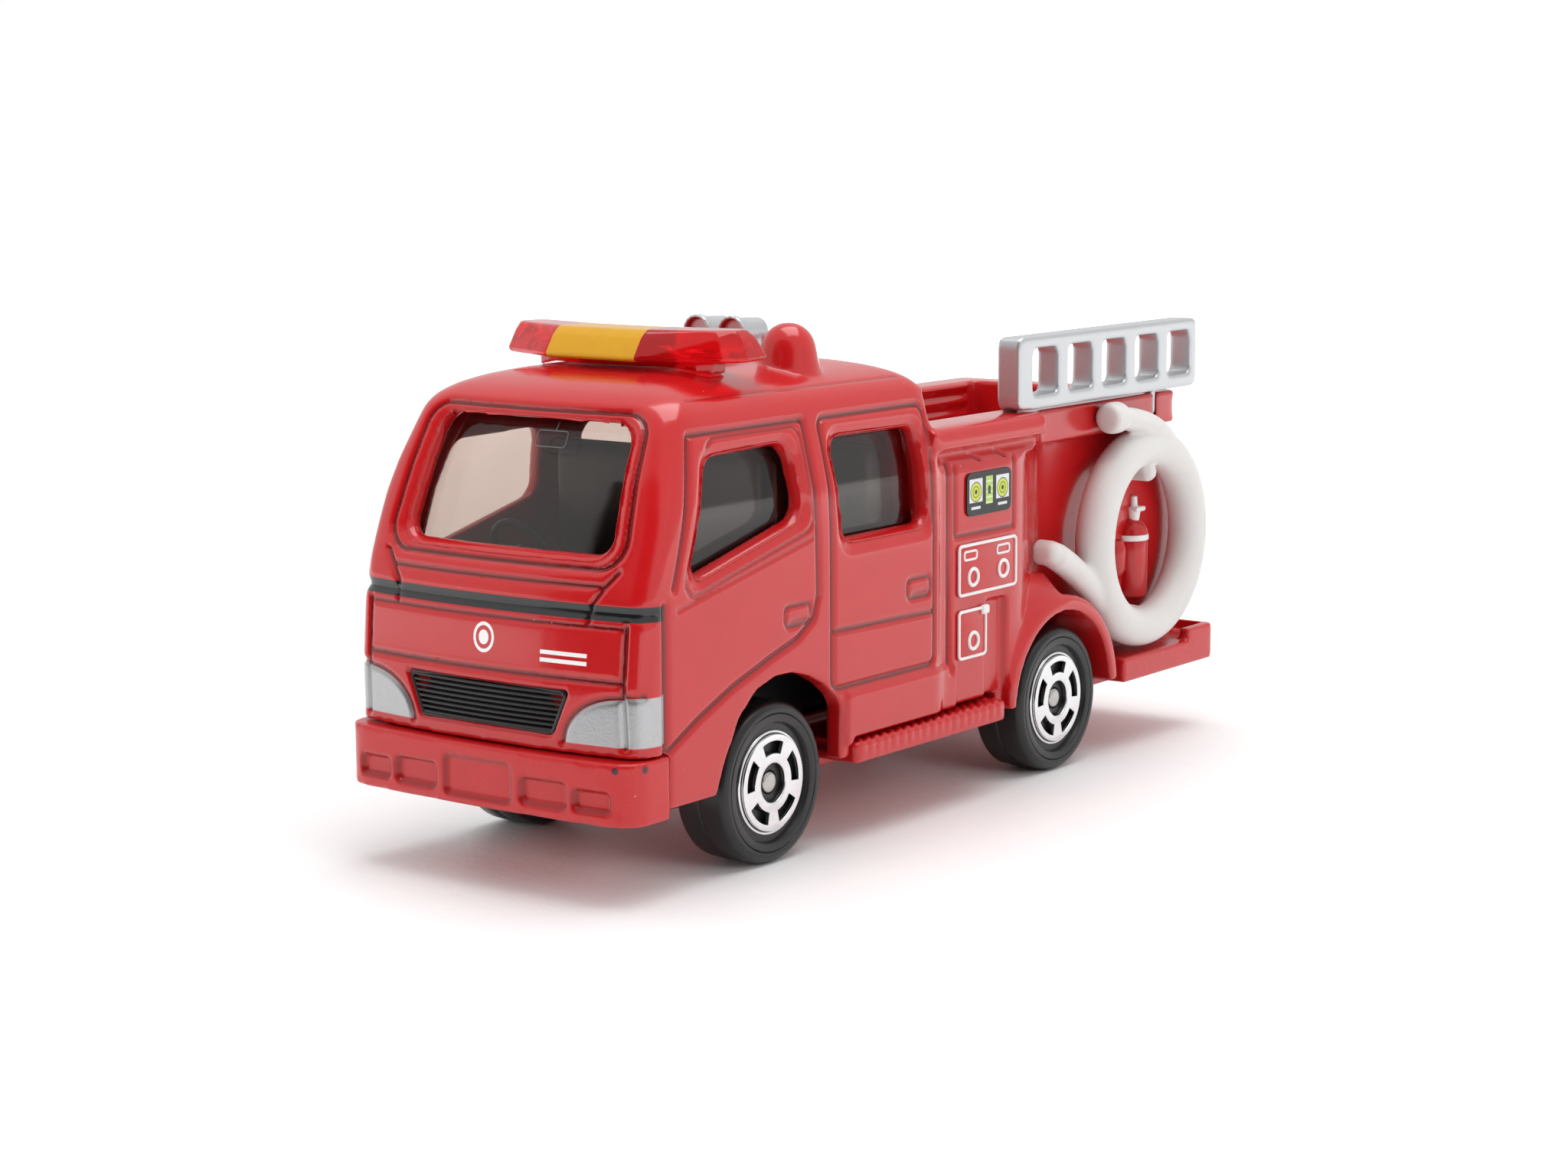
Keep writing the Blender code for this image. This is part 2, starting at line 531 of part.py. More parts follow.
def tube(points, radius, sides_level=2):
    """Round tube along a smooth curve, as a closed mesh cutter."""
    curve = bpy.data.curves.new("tube", "CURVE")
    curve.dimensions = "3D"
    curve.bevel_depth = radius * MM
    curve.bevel_resolution = sides_level
    curve.use_fill_caps = True
    curve.resolution_u = 4
    spline = curve.splines.new("NURBS")
    spline.points.add(len(points) - 1)
    for point, place_at in zip(spline.points, points):
        point.co = (*(Vector(place_at) * MM), 1)
    spline.use_endpoint_u = True
    spline.order_u = 3
    ob = bpy.data.objects.new("tube", curve)
    cutters.objects.link(ob)
    graph = bpy.context.evaluated_depsgraph_get()
    mesh = bpy.data.meshes.new_from_object(ob.evaluated_get(graph))
    bpy.data.objects.remove(ob, do_unlink=True)
    bm = bmesh.new()
    bm.from_mesh(mesh)
    bpy.data.meshes.remove(mesh)
    bmesh.ops.remove_doubles(bm, verts=bm.verts, dist=1e-6)
    bmesh.ops.scale(bm, vec=(1 / MM, 1 / MM, 1 / MM), verts=bm.verts)
    return place(bm, "cutter", cutter=True)


def suction_hose(side, name):
    """Coiled suction hose: a ring with an upper and a lower free end and two pegs."""
    cx, cy, cz = HOSE_CENTRE
    verts_per_ring = 12
    outline = [(cx + HOSE_TUBE * math.cos(a), HOSE_R + HOSE_TUBE * math.sin(a))
               for a in (math.tau * k / verts_per_ring for k in range(verts_per_ring))]
    hose = turned(outline, (0, cy, cz), name, WHITE, sides=40)
    joined = [tube([(11.6, 23.0, 25.9), (11.7, 25.6, 25.7), (11.8, 29.0, 25.1), (11.6, 32.2, 23.6), (11.3, 33.9, 20.5)], 0.9),
              cylinder((11.6, 21.6, 25.95), (11.6, 23.8, 25.85), 1.15, sides=16),
              tube([(11.0, 15.4, 16.3), (11.1, 17.2, 15.4), (11.2, 19.6, 13.6), (11.2, 22.4, 11.4)], 0.85),
              cylinder((11.3, 15.1, 16.5), (9.75, 15.1, 16.5), 0.95, sides=16)]
    for y, z in HOSE_PEGS:
        joined.append(cylinder((cx - 0.6, y, z), (7.6, y, z), PEG_R, sides=12))
    combine(hose, joined, "UNION")
    if side < 0:
        bm = bmesh.new()
        bm.from_mesh(hose.data)
        bmesh.ops.scale(bm, vec=(-1, 1, 1), verts=bm.verts)
        bmesh.ops.recalc_face_normals(bm, faces=bm.faces)
        bm.to_mesh(hose.data)
        bm.free()
    return finish(hose)


def gauge_label(side, name):
    near, far = sorted((side * (BODY_HALF + 0.03), side * (BODY_HALF + 0.16)))
    return finish(prism(rounded([(1.7, 20.8), (7.5, 20.8), (7.5, 23.9), (1.7, 23.9)], 0.5), "X", near, far, name, LABEL))


# ---------------------------------------------------------------- running gear
def wheel(side, axle_y, name):
    """Moulded wheel with a grooved tyre face and a slotted hub."""
    inner = WHEEL_OUT - WHEEL_WIDTH
    bore = AXLE_R + 0.03
    outline = [(inner, bore), (inner, 4.7), (inner + 0.5, 5.3), (inner + 1.1, TYRE_R), (WHEEL_OUT - 0.9, TYRE_R),
               (WHEEL_OUT - 0.25, 5.25), (WHEEL_OUT, 4.9), (WHEEL_OUT, 4.15), (WHEEL_OUT - 0.3, 3.95),
               (WHEEL_OUT - 0.3, 3.35), (WHEEL_OUT - 0.1, 3.28), (WHEEL_OUT - 0.1, 1.5), (WHEEL_OUT - 0.5, 1.45),
               (WHEEL_OUT - 0.5, bore)]
    if side < 0:
        outline = [(-x, r) for x, r in outline]
    ob = turned(outline, (0, 0, 0), name, BLACK, sides=36)
    ob.location = (0, axle_y * MM, TYRE_R * MM)
    mesh = ob.data
    mesh.shade_smooth()
    mesh.set_sharp_from_angle(angle=math.radians(35))
    return ob


def axle(axle_y, name):
    ob = cylinder((-AXLE_HALF, 0, 0), (AXLE_HALF, 0, 0), AXLE_R, name, STEEL, sides=24)
    ob.location = (0, axle_y * MM, TYRE_R * MM)
    ob.data.shade_smooth()
    ob.data.set_sharp_from_angle(angle=math.radians(35))
    return ob


def spring_strip(axle_y, name):
    """Bowed flat strip that presses on the axle."""
    reach, rise, thick, half_width = 5.5, 0.5, 0.3, 2.6
    base_z = TYRE_R + AXLE_R + 0.06
    lower = [(axle_y + reach * t, base_z + rise * t * t) for t in (k / 5 for k in range(-5, 6))]
    upper = [(y, z + thick) for y, z in reversed(lower)]
    return finish(prism(lower + upper, "X", -half_width, half_width, name, SPRING))


body_casting()
base_plate()
glazing()
interior_tub()
steering_wheel()
light_bar()
roof_siren()
ladder()
suction_hose(1, "suction_hose_left")
suction_hose(-1, "suction_hose_right")
gauge_label(1, "gauge_label_left")
gauge_label(-1, "gauge_label_right")
for end, axle_y in (("front", FRONT_AXLE_Y), ("rear", REAR_AXLE_Y)):
    wheel(1, axle_y, end + "_wheel_left")
    wheel(-1, axle_y, end + "_wheel_right")
    axle(axle_y, end + "_axle")
    spring_strip(axle_y, end + "_spring")
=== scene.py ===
import math

import bmesh
import bpy
import numpy as np
from mathutils import Matrix, Vector
from mathutils.bvhtree import BVHTree


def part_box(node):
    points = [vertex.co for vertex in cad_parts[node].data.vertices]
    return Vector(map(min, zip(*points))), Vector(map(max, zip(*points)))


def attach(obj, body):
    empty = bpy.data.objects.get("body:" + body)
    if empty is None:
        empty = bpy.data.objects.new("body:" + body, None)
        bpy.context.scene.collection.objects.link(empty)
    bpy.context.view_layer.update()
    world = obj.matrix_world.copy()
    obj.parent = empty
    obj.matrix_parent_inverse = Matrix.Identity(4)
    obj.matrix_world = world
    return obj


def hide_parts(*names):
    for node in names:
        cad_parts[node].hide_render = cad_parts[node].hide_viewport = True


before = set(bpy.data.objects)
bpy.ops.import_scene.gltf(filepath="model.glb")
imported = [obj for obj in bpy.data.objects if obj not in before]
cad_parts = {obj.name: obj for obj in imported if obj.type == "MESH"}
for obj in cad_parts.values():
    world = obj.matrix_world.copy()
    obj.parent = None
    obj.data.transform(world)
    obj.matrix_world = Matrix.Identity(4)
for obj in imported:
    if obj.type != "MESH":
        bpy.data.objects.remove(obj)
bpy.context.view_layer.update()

# Toy fire engine: enamelled casting, plastic base, smoked glass, chromed hubs and clip-on
# equipment. All shapes are drawn in millimetres and turned to metres when a piece is made.
MM = 0.001


def node_box(name):
    low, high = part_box(name)
    return Vector(low) / MM, Vector(high) / MM


WHEEL_LOW, WHEEL_HIGH = node_box("front_wheel_left")
TYRE_R = (WHEEL_HIGH.z - WHEEL_LOW.z) / 2
WHEEL_OUT = WHEEL_HIGH.x
WHEEL_IN = WHEEL_LOW.x
FRONT_AXLE_Y = (WHEEL_LOW.y + WHEEL_HIGH.y) / 2
REAR_AXLE_Y = sum(corner.y for corner in node_box("rear_wheel_left")) / 2
AXLE_LOW, AXLE_HIGH = node_box("front_axle")
AXLE_R = (AXLE_HIGH.z - AXLE_LOW.z) / 2
AXLE_HALF = AXLE_HIGH.x
BODY_HALF = node_box("gauge_label_left")[0].x - 0.03
LABEL_LOW, LABEL_HIGH = node_box("gauge_label_left")


# ---------------------------------------------------------------- mesh helpers
def cad_copy(node):
    """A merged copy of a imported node's mesh, in millimetres."""
    bm = bmesh.new()
    bm.from_mesh(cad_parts[node].data)
    bmesh.ops.scale(bm, vec=(1 / MM, 1 / MM, 1 / MM), verts=bm.verts)
    bmesh.ops.remove_doubles(bm, verts=bm.verts, dist=0.002)
    return bm


def run_modifiers(mesh, *stack):
    """Pass a mesh through modifiers, each given as (type, settings), and give the new mesh."""
    ob = bpy.data.objects.new("work", mesh)
    bpy.context.scene.collection.objects.link(ob)
    for kind, settings in stack:
        modifier = ob.modifiers.new(kind, kind)
        for key, value in settings.items():
            setattr(modifier, key, value)
    graph = bpy.context.evaluated_depsgraph_get()
    result = bpy.data.meshes.new_from_object(ob.evaluated_get(graph))
    bpy.data.objects.remove(ob, do_unlink=True)
    bpy.data.meshes.remove(mesh)
    return result


def to_mesh(bm, name="work"):
    mesh = bpy.data.meshes.new(name)
    bm.to_mesh(mesh)
    bm.free()
    return mesh


def coordinates(mesh):
    flat = np.empty(len(mesh.vertices) * 3, dtype=np.float32)
    mesh.vertices.foreach_get("co", flat)
    return flat.reshape(-1, 3).astype(np.float64)


def vertex_normals(mesh):
    flat = np.empty(len(mesh.vertices) * 3, dtype=np.float32)
    mesh.vertex_normals.foreach_get("vector", flat)
    return flat.reshape(-1, 3).astype(np.float64)


def set_coordinates(mesh, points):
    mesh.vertices.foreach_set("co", points.astype(np.float32).ravel())
    mesh.update()


class Ring:
    """Averages a value over each vertex's neighbours."""

    def __init__(self, mesh):
        pairs = np.empty(len(mesh.edges) * 2, dtype=np.int32)
        mesh.edges.foreach_get("vertices", pairs)
        pairs = pairs.reshape(-1, 2)
        self.count = len(mesh.vertices)
        self.start = np.concatenate((pairs[:, 0], pairs[:, 1]))
        self.end = np.concatenate((pairs[:, 1], pairs[:, 0]))
        self.degree = np.maximum(np.bincount(self.start, minlength=self.count), 1)

    def mean(self, values):
        columns = [np.bincount(self.start, weights=values[self.end, k], minlength=self.count)
                   for k in range(values.shape[1])]
        return np.stack(columns, axis=1) / self.degree[:, None]


def ramp(value, low, high):
    """0 below low, 1 above high and a soft step between."""
    t = np.clip((value - low) / (high - low), 0, 1)
    return t * t * (3 - 2 * t)


def softened(bm, voxel, edge_rounds, flat_rounds=0):
    """One even skin over a hard-edged solid: edges rounded a little, shallow facets melted away."""
    mesh = run_modifiers(to_mesh(bm), ("REMESH", {"mode": "VOXEL", "voxel_size": voxel}))
    ring = Ring(mesh)
    points = coordinates(mesh)
    for _ in range(edge_rounds):
        points += 0.5 * (ring.mean(points) - points)
    set_coordinates(mesh, points)
    if flat_rounds:
        spread = vertex_normals(mesh)
        for _ in range(5):
            spread = 0.5 * (spread + ring.mean(spread))
        flatness = ramp(np.linalg.norm(spread, axis=1), 0.972, 0.99)[:, None]
        for _ in range(flat_rounds):
            points += 0.5 * flatness * (ring.mean(points) - points)
        set_coordinates(mesh, points)
    return mesh


def thinned(mesh, triangles):
    """Collapse a mesh to about that many triangles."""
    have = sum(len(p.vertices) - 2 for p in mesh.polygons)
    if have <= triangles:
        return mesh
    return run_modifiers(mesh, ("DECIMATE", {"ratio": triangles / have}))


def add_piece(name, mesh, body, material, replaced=(), sharp=None):
    """Make the finished object: metres, origin at the frame's, riding on its body."""
    mesh.transform(Matrix.Scale(MM, 4))
    mesh.name = name
    mesh.materials.clear()
    mesh.materials.append(material)
    mesh.shade_smooth()
    if sharp:
        mesh.set_sharp_from_angle(angle=math.radians(sharp))
    ob = bpy.data.objects.new(name, mesh)
    bpy.context.scene.collection.objects.link(ob)
    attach(ob, body)
    if replaced:
        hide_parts(*replaced)


def join(*parts):
    """Put several bmeshes in one."""
    whole = bmesh.new()
    for part in parts:
        mesh = to_mesh(part)
        whole.from_mesh(mesh)
        bpy.data.meshes.remove(mesh)
    return whole


def turned(outline, centre=(0, 0, 0), axis="X", steps=96):
    """Turn a (along, radius) outline about an axis; ends on the axis are closed."""
    bm = bmesh.new()
    verts = [bm.verts.new((x, 0, r)) for x, r in outline]
    edges = [bm.edges.new(pair) for pair in zip(verts, verts[1:])]
    if outline[0][1] > 0 and outline[-1][1] > 0:
        edges.append(bm.edges.new((verts[-1], verts[0])))
    bmesh.ops.spin(bm, geom=verts + edges, cent=(0, 0, 0), axis=(1, 0, 0), angle=math.tau, steps=steps,
                   use_merge=True)
    bmesh.ops.remove_doubles(bm, verts=bm.verts, dist=1e-4)
    bmesh.ops.recalc_face_normals(bm, faces=bm.faces)
    turn = {"X": Matrix(), "Y": Matrix.Rotation(math.pi / 2, 4, "Z"),
            "Z": Matrix.Rotation(-math.pi / 2, 4, "Y")}[axis]
    bmesh.ops.transform(bm, matrix=Matrix.Translation(centre) @ turn, verts=bm.verts)
    return bm


def mirror_x(bm):
    bmesh.ops.scale(bm, vec=(-1, 1, 1), verts=bm.verts)
    bmesh.ops.reverse_faces(bm, faces=bm.faces)


def arc(centre, radius, start, end, steps):
    """Points along an arc, angles in degrees."""
    angles = [math.radians(start + (end - start) * k / steps) for k in range(steps + 1)]
    return [(centre[0] + radius * math.cos(a), centre[1] + radius * math.sin(a)) for a in angles]


def rounded(points, radius, steps=5):
    """Round the corners of a closed outline; radius is one value or one per point."""
    out = []
    for i, here in enumerate(points):
        r = radius[i] if isinstance(radius, (list, tuple)) else radius
        here = Vector(here)
        back = (Vector(points[i - 1]) - here).normalized()
        ahead = (Vector(points[(i + 1) % len(points)]) - here).normalized()
        half = back.angle(ahead) / 2
        centre = here + (back + ahead).normalized() * (r / math.sin(half))
        a = here + back * (r / math.tan(half)) - centre
        b = here + ahead * (r / math.tan(half)) - centre
        for k in range(steps + 1):
            out.append(tuple(centre + (a * (1 - k / steps) + b * k / steps).normalized() * r))
    return out


def grown(outline, by):
    """Move each corner of an outline away from its middle."""
    middle = sum((Vector(p) for p in outline), Vector((0, 0))) / len(outline)
    return [tuple(Vector(p) + (Vector(p) - middle).normalized() * by) for p in outline]


def block(low, high, bevel=0.0):
    bm = bmesh.new()
    bmesh.ops.create_cube(bm, size=1.0)
    low, high = Vector(low), Vector(high)
    bmesh.ops.scale(bm, vec=high - low, verts=bm.verts)
    bmesh.ops.translate(bm, vec=(low + high) / 2, verts=bm.verts)
    if bevel:
        bmesh.ops.bevel(bm, geom=bm.edges[:], offset=bevel, segments=3, affect="EDGES", profile=0.5,
                        material=-1)
    return bm


def curve_surface(curve):
    """The merged surface of a curve, which is used up."""
    ob = bpy.data.objects.new("work", curve)
    bpy.context.scene.collection.objects.link(ob)
    graph = bpy.context.evaluated_depsgraph_get()
    mesh = bpy.data.meshes.new_from_object(ob.evaluated_get(graph))
    bpy.data.objects.remove(ob, do_unlink=True)
    bpy.data.curves.remove(curve)
    bm = bmesh.new()
    bm.from_mesh(mesh)
    bpy.data.meshes.remove(mesh)
    bmesh.ops.remove_doubles(bm, verts=bm.verts, dist=1e-4)
    bmesh.ops.recalc_face_normals(bm, faces=bm.faces)
    return bm


def curve_mesh(points, radius, closed=False, sides=4, kind="POLY"):
    """A round bar along a path, drawn in millimetres."""
    curve = bpy.data.curves.new("bar", "CURVE")
    curve.dimensions = "3D"
    curve.bevel_depth = radius
    curve.bevel_resolution = sides
    curve.use_fill_caps = True
    curve.resolution_u = 8
    spline = curve.splines.new(kind)
    spline.points.add(len(points) - 1)
    for point, at in zip(spline.points, points):
        point.co = (*at, 1)
    spline.use_cyclic_u = closed
    if kind == "NURBS":
        spline.use_endpoint_u = True
        spline.order_u = 3
    return curve_surface(curve)


def flat_cutout(outlines, thickness, bevel):
    """A flat plate in the YZ plane from outlines, where inner outlines are holes, with eased edges."""
    curve = bpy.data.curves.new("plate", "CURVE")
    curve.dimensions = "2D"
    curve.fill_mode = "BOTH"
    curve.extrude = thickness / 2 - bevel
    curve.bevel_depth = bevel
    curve.bevel_resolution = 2
    curve.offset = -bevel
    for outline in outlines:
        spline = curve.splines.new("POLY")
        spline.points.add(len(outline) - 1)
        for point, at in zip(spline.points, outline):
            point.co = (*at, 0, 1)
        spline.use_cyclic_u = True
    bm = curve_surface(curve)
    stand = Matrix(((0, 0, 1, 0), (1, 0, 0, 0), (0, 1, 0, 0), (0, 0, 0, 1)))
    bmesh.ops.transform(bm, matrix=stand, verts=bm.verts)
    return bm


# ---------------------------------------------------------------- materials
class Paint:
    """A Principled material whose masks and grain are worked out in millimetres."""

    def __init__(self, name):
        self.material = bpy.data.materials.new(name)
        self.material.use_nodes = True
        self.nodes = self.material.node_tree.nodes
        self.links = self.material.node_tree.links
        self.shader = self.nodes["Principled BSDF"]
        where = self.nodes.new("ShaderNodeTexCoord")
        scale = self.nodes.new("ShaderNodeVectorMath")
        scale.operation = "SCALE"
        scale.inputs["Scale"].default_value = 1 / MM
        self.links.new(where.outputs["Object"], scale.inputs[0])
        self.point = scale.outputs[0]
        split = self.nodes.new("ShaderNodeSeparateXYZ")
        self.links.new(self.point, split.inputs[0])
        self.x, self.y, self.z = split.outputs

    def feed(self, socket, value):
        """Link a socket to another node's, or set it to a number or a colour."""
        if isinstance(value, bpy.types.NodeSocket):
            self.links.new(value, socket)
        elif isinstance(value, tuple):
            socket.default_value = (*value, 1.0)
        else:
            socket.default_value = value

    def calc(self, operation, a, b=0.0, c=0.0, clamp=False):
        node = self.nodes.new("ShaderNodeMath")
        node.operation = operation
        node.use_clamp = clamp
        for socket, value in zip(node.inputs, (a, b, c)):
            self.feed(socket, value)
        return node.outputs[0]

    def below(self, value, edge, soft=0.03):
        """1 where value is under edge, with a soft border that many millimetres wide."""
        gap = self.calc("SUBTRACT", edge, value)
        return self.calc("MULTIPLY_ADD", gap, 1 / soft, 0.5, clamp=True)

    def between(self, value, low, high, soft=0.03):
        middle, half = (low + high) / 2, (high - low) / 2
        away = self.calc("ABSOLUTE", self.calc("SUBTRACT", value, middle))
        return self.below(away, half, soft)

    def both(self, *masks):
        whole = masks[0]
        for mask in masks[1:]:
            whole = self.calc("MULTIPLY", whole, mask)
        return whole

    def either(self, *masks):
        whole = masks[0]
        for mask in masks[1:]:
            whole = self.calc("MAXIMUM", whole, mask)
        return whole

    def radius_from(self, a, b, centre, stretch=1.0):
        """Distance from a point in the plane of two coordinates, with b divided by stretch."""
        da = self.calc("SUBTRACT", a, centre[0])
        db = self.calc("DIVIDE", self.calc("SUBTRACT", b, centre[1]), stretch)
        squares = self.calc("MULTIPLY_ADD", da, da, self.calc("MULTIPLY", db, db))
        return self.calc("SQRT", squares)

    def noise(self, scale, detail=2.0, rough=0.5):
        node = self.nodes.new("ShaderNodeTexNoise")
        node.inputs["Scale"].default_value = scale
        node.inputs["Detail"].default_value = detail
        node.inputs["Roughness"].default_value = rough
        self.links.new(self.point, node.inputs["Vector"])
        return node.outputs["Fac"]

    def specks(self, pitch, size, keep):
        """Small round dust grains about pitch apart; keep is the share of cells that have one."""
        node = self.nodes.new("ShaderNodeTexVoronoi")
        node.inputs["Scale"].default_value = 1 / pitch
        self.links.new(self.point, node.inputs["Vector"])
        spot = self.below(node.outputs["Distance"], size / pitch, 0.3 * size / pitch)
        chosen = self.nodes.new("ShaderNodeSeparateColor")
        self.links.new(node.outputs["Color"], chosen.inputs[0])
        return self.calc("MULTIPLY", spot, self.calc("LESS_THAN", chosen.outputs[0], keep))

    def attribute(self, name):
        node = self.nodes.new("ShaderNodeAttribute")
        node.attribute_name = name
        return node.outputs["Fac"]

    def mix(self, a, b, amount):
        """Mix two colours."""
        node = self.nodes.new("ShaderNodeMix")
        node.data_type = "RGBA"
        inputs = [s for s in node.inputs if s.enabled]
        outputs = [s for s in node.outputs if s.enabled]
        self.feed(inputs[0], amount)
        for socket, value in zip(inputs[1:], (a, b)):
            self.feed(socket, value)
        return outputs[0]

    def blend(self, a, b, amount):
        """Mix two numbers, either of which may come from a node."""
        node = self.nodes.new("ShaderNodeMix")
        self.feed(node.inputs[0], amount)
        self.feed(node.inputs[2], a)
        self.feed(node.inputs[3], b)
        return node.outputs[0]

    def bump(self, height, distance, strength, normal=None):
        node = self.nodes.new("ShaderNodeBump")
        node.inputs["Distance"].default_value = distance * MM
        node.inputs["Strength"].default_value = strength
        self.feed(node.inputs["Height"], height)
        if normal is not None:
            self.links.new(normal, node.inputs["Normal"])
        return node.outputs[0]

    def set(self, **values):
        for key, value in values.items():
            self.feed(self.shader.inputs[key.replace("_", " ")], value)


ENAMEL = (0.53, 0.009, 0.012)
# painted shade: the dark red that grooves and sunk-panel rims are tinted with
ENAMEL_GROOVE_SHADE = (0.075, 0.001, 0.002)
BLACK_PAINT = (0.010, 0.010, 0.011)
SILVER_PAINT = (0.47, 0.47, 0.48)
WHITE_PRINT = (0.86, 0.86, 0.85)
DUST = (0.80, 0.62, 0.58)

BAND_LOW, BAND_HIGH = 18.15, 19.1          # black line across the nose
LAMP_JOINT_X = 11.07                       # groove between the two halves of a headlight
LAMP_LOW, LAMP_HIGH = 10.25, 13.4
LAMP_WIDE, LAMP_TALL = 4.54, 3.05          # quarter oval of a headlight's inner half
CORNER_Y = -32.85                          # groove between nose and side
BADGE_Z, STRIPE_Z = 16.35, 15.75


def enamel():
    """Glossy red enamel with dust, painted shade in the grooves, silver lamps, black nose line and white
    prints.
    """
    p = Paint("red_enamel_gloss")
    front = p.below(p.y, -30.0)
    side_x = p.calc("ABSOLUTE", p.x)
    band = p.both(p.between(p.z, BAND_LOW, BAND_HIGH, 0.06), p.below(p.y, CORNER_Y + 0.1, 0.1))
    lamp_r = p.radius_from(side_x, p.z, (LAMP_JOINT_X, LAMP_LOW), LAMP_TALL / LAMP_WIDE)
    inner_lamp = p.both(p.below(side_x, LAMP_JOINT_X), p.below(lamp_r, LAMP_WIDE - 0.04, 0.06))
    outer_lamp = p.both(p.below(p.calc("SUBTRACT", LAMP_JOINT_X, side_x), 0.0),
                        p.below(p.y, CORNER_Y + 0.05, 0.1))
    lamp = p.both(p.either(inner_lamp, outer_lamp), p.between(p.z, LAMP_LOW, LAMP_HIGH, 0.08), front)
    badge_r = p.radius_from(p.x, p.z, (0.0, BADGE_Z), 1.12)
    badge = p.either(p.between(badge_r, 0.68, 0.88), p.below(badge_r, 0.42))
    stripes = p.both(p.between(p.x, 4.7, 8.3), p.either(p.between(p.z, STRIPE_Z, STRIPE_Z + 0.26),
                                                        p.between(p.z, STRIPE_Z - 0.5, STRIPE_Z - 0.24)))
    print_mask = p.both(p.either(badge, stripes), front, p.below(p.y, -34.0))
    rivet = p.below(p.z, 4.05)
    groove = p.attribute("groove")
    mottled = p.mix(ENAMEL, (0.47, 0.008, 0.009), p.noise(0.35, 3.0))
    # painted shade: darken the enamel in grooves and along sunk-panel rims
    colour = p.mix(mottled, ENAMEL_GROOVE_SHADE, groove)
    dust = p.calc("MULTIPLY", p.specks(1.3, 0.045, 0.16), 0.75)
    wear = p.calc("MULTIPLY", p.below(p.noise(2.2, 6.0, 0.75), 0.27, 0.05), 0.25)
    colour = p.mix(colour, DUST, p.either(dust, wear))
    brushed = p.below(p.noise(4.0, 4.0, 0.7), 0.42, 0.2)
    silver = p.mix(SILVER_PAINT, (0.40, 0.40, 0.41), p.calc("MULTIPLY", brushed, 0.5))
    colour = p.mix(colour, silver, p.either(lamp, rivet))
    colour = p.mix(colour, BLACK_PAINT, band)
    colour = p.mix(colour, WHITE_PRINT, print_mask)
    metal = p.calc("MULTIPLY", p.either(lamp, rivet), 0.75)
    rough = p.blend(0.16, 0.24, p.noise(0.8, 2.0))
    rough = p.blend(rough, 0.33, p.either(lamp, rivet))
    rough = p.blend(rough, 0.5, print_mask)
    peel = p.bump(p.noise(0.9, 1.0), 0.02, 0.35)
    brushing = p.calc("MULTIPLY", lamp, p.noise(6.0, 3.0))
    fine = p.bump(p.either(p.specks(1.3, 0.045, 0.16), brushing), 0.03, 0.5, peel)
    p.set(Base_Color=colour, Metallic=metal, Roughness=rough, Normal=fine, Coat_Weight=0.35,
          Coat_Roughness=0.06, IOR=1.5)
    return p.material


def plastic(name, colour, shade, roughness, grain=1.6, dust=0.1, metallic=0.0, **extra):
    """Moulded or painted plastic: slight mottling, fine grain, a little dust."""
    p = Paint(name)
    mottled = p.mix(colour, shade, p.noise(grain * 0.4, 3.0))
    grains = p.specks(1.1, 0.04, dust)
    p.set(Base_Color=p.mix(mottled, (0.75, 0.73, 0.70), p.calc("MULTIPLY", grains, 0.6)),
          Roughness=p.blend(roughness, roughness + 0.08, p.noise(grain, 3.0)),
          Metallic=metallic, Normal=p.bump(p.noise(grain * 2.0, 2.0), 0.015, 0.3), **extra)
    return p.material


def base_red():
    """The base's red, with painted shade in its grooves and paint rubbed off in a few chips at the bumper's
    corner.
    """
    p = Paint("base_red_gloss")
    groove = p.attribute("groove")
    mottled = p.mix((0.55, 0.012, 0.014), (0.48, 0.009, 0.011), p.noise(0.4, 3.0))
    # painted shade: darken the red in grooves and along sunk-panel rims
    colour = p.mix(mottled, ENAMEL_GROOVE_SHADE, groove)
    front_chip = p.below(p.radius_from(p.x, p.z, (11.15, 9.0)), 0.22, 0.08)
    corner_chip = p.both(p.below(p.radius_from(p.y, p.z, (-35.0, 9.0)), 0.25, 0.2),
                         p.below(p.calc("MULTIPLY", p.x, -1.0), -12.0))
    chips = p.both(p.either(front_chip, corner_chip), p.below(p.y, -33.0))
    colour = p.mix(colour, (0.05, 0.02, 0.025), chips)
    colour = p.mix(colour, DUST, p.calc("MULTIPLY", p.specks(1.2, 0.045, 0.14), 0.7))
    p.set(Base_Color=colour, Roughness=p.blend(0.24, 0.33, p.noise(0.9, 3.0)), Coat_Weight=0.2,
          Coat_Roughness=0.12, Normal=p.bump(p.noise(1.6, 2.0), 0.02, 0.3))
    return p.material


def smoked():
    """Thin grey-brown clear moulding: tinted see-through with a mirror sheen."""
    p = Paint("smoked_clear_tint")
    through = p.nodes.new("ShaderNodeBsdfTransparent")
    p.feed(through.inputs["Color"], p.mix((0.875, 0.82, 0.79), (0.84, 0.79, 0.765), p.noise(0.3, 2.0)))
    gloss = p.nodes.new("ShaderNodeBsdfGlossy")
    gloss.inputs["Color"].default_value = (1.0, 1.0, 1.0, 1.0)
    p.feed(gloss.inputs["Roughness"], p.blend(0.03, 0.09, p.noise(1.2, 4.0)))
    grazing = p.nodes.new("ShaderNodeLayerWeight")
    grazing.inputs["Blend"].default_value = 0.5
    sheen = p.calc("MULTIPLY_ADD", p.calc("POWER", grazing.outputs["Facing"], 5.0), 0.96, 0.04)
    mixed = p.nodes.new("ShaderNodeMixShader")
    p.links.new(sheen, mixed.inputs[0])
    p.links.new(through.outputs[0], mixed.inputs[1])
    p.links.new(gloss.outputs[0], mixed.inputs[2])
    p.links.new(mixed.outputs[0], p.nodes["Material Output"].inputs["Surface"])
    p.nodes.remove(p.shader)
    return p.material


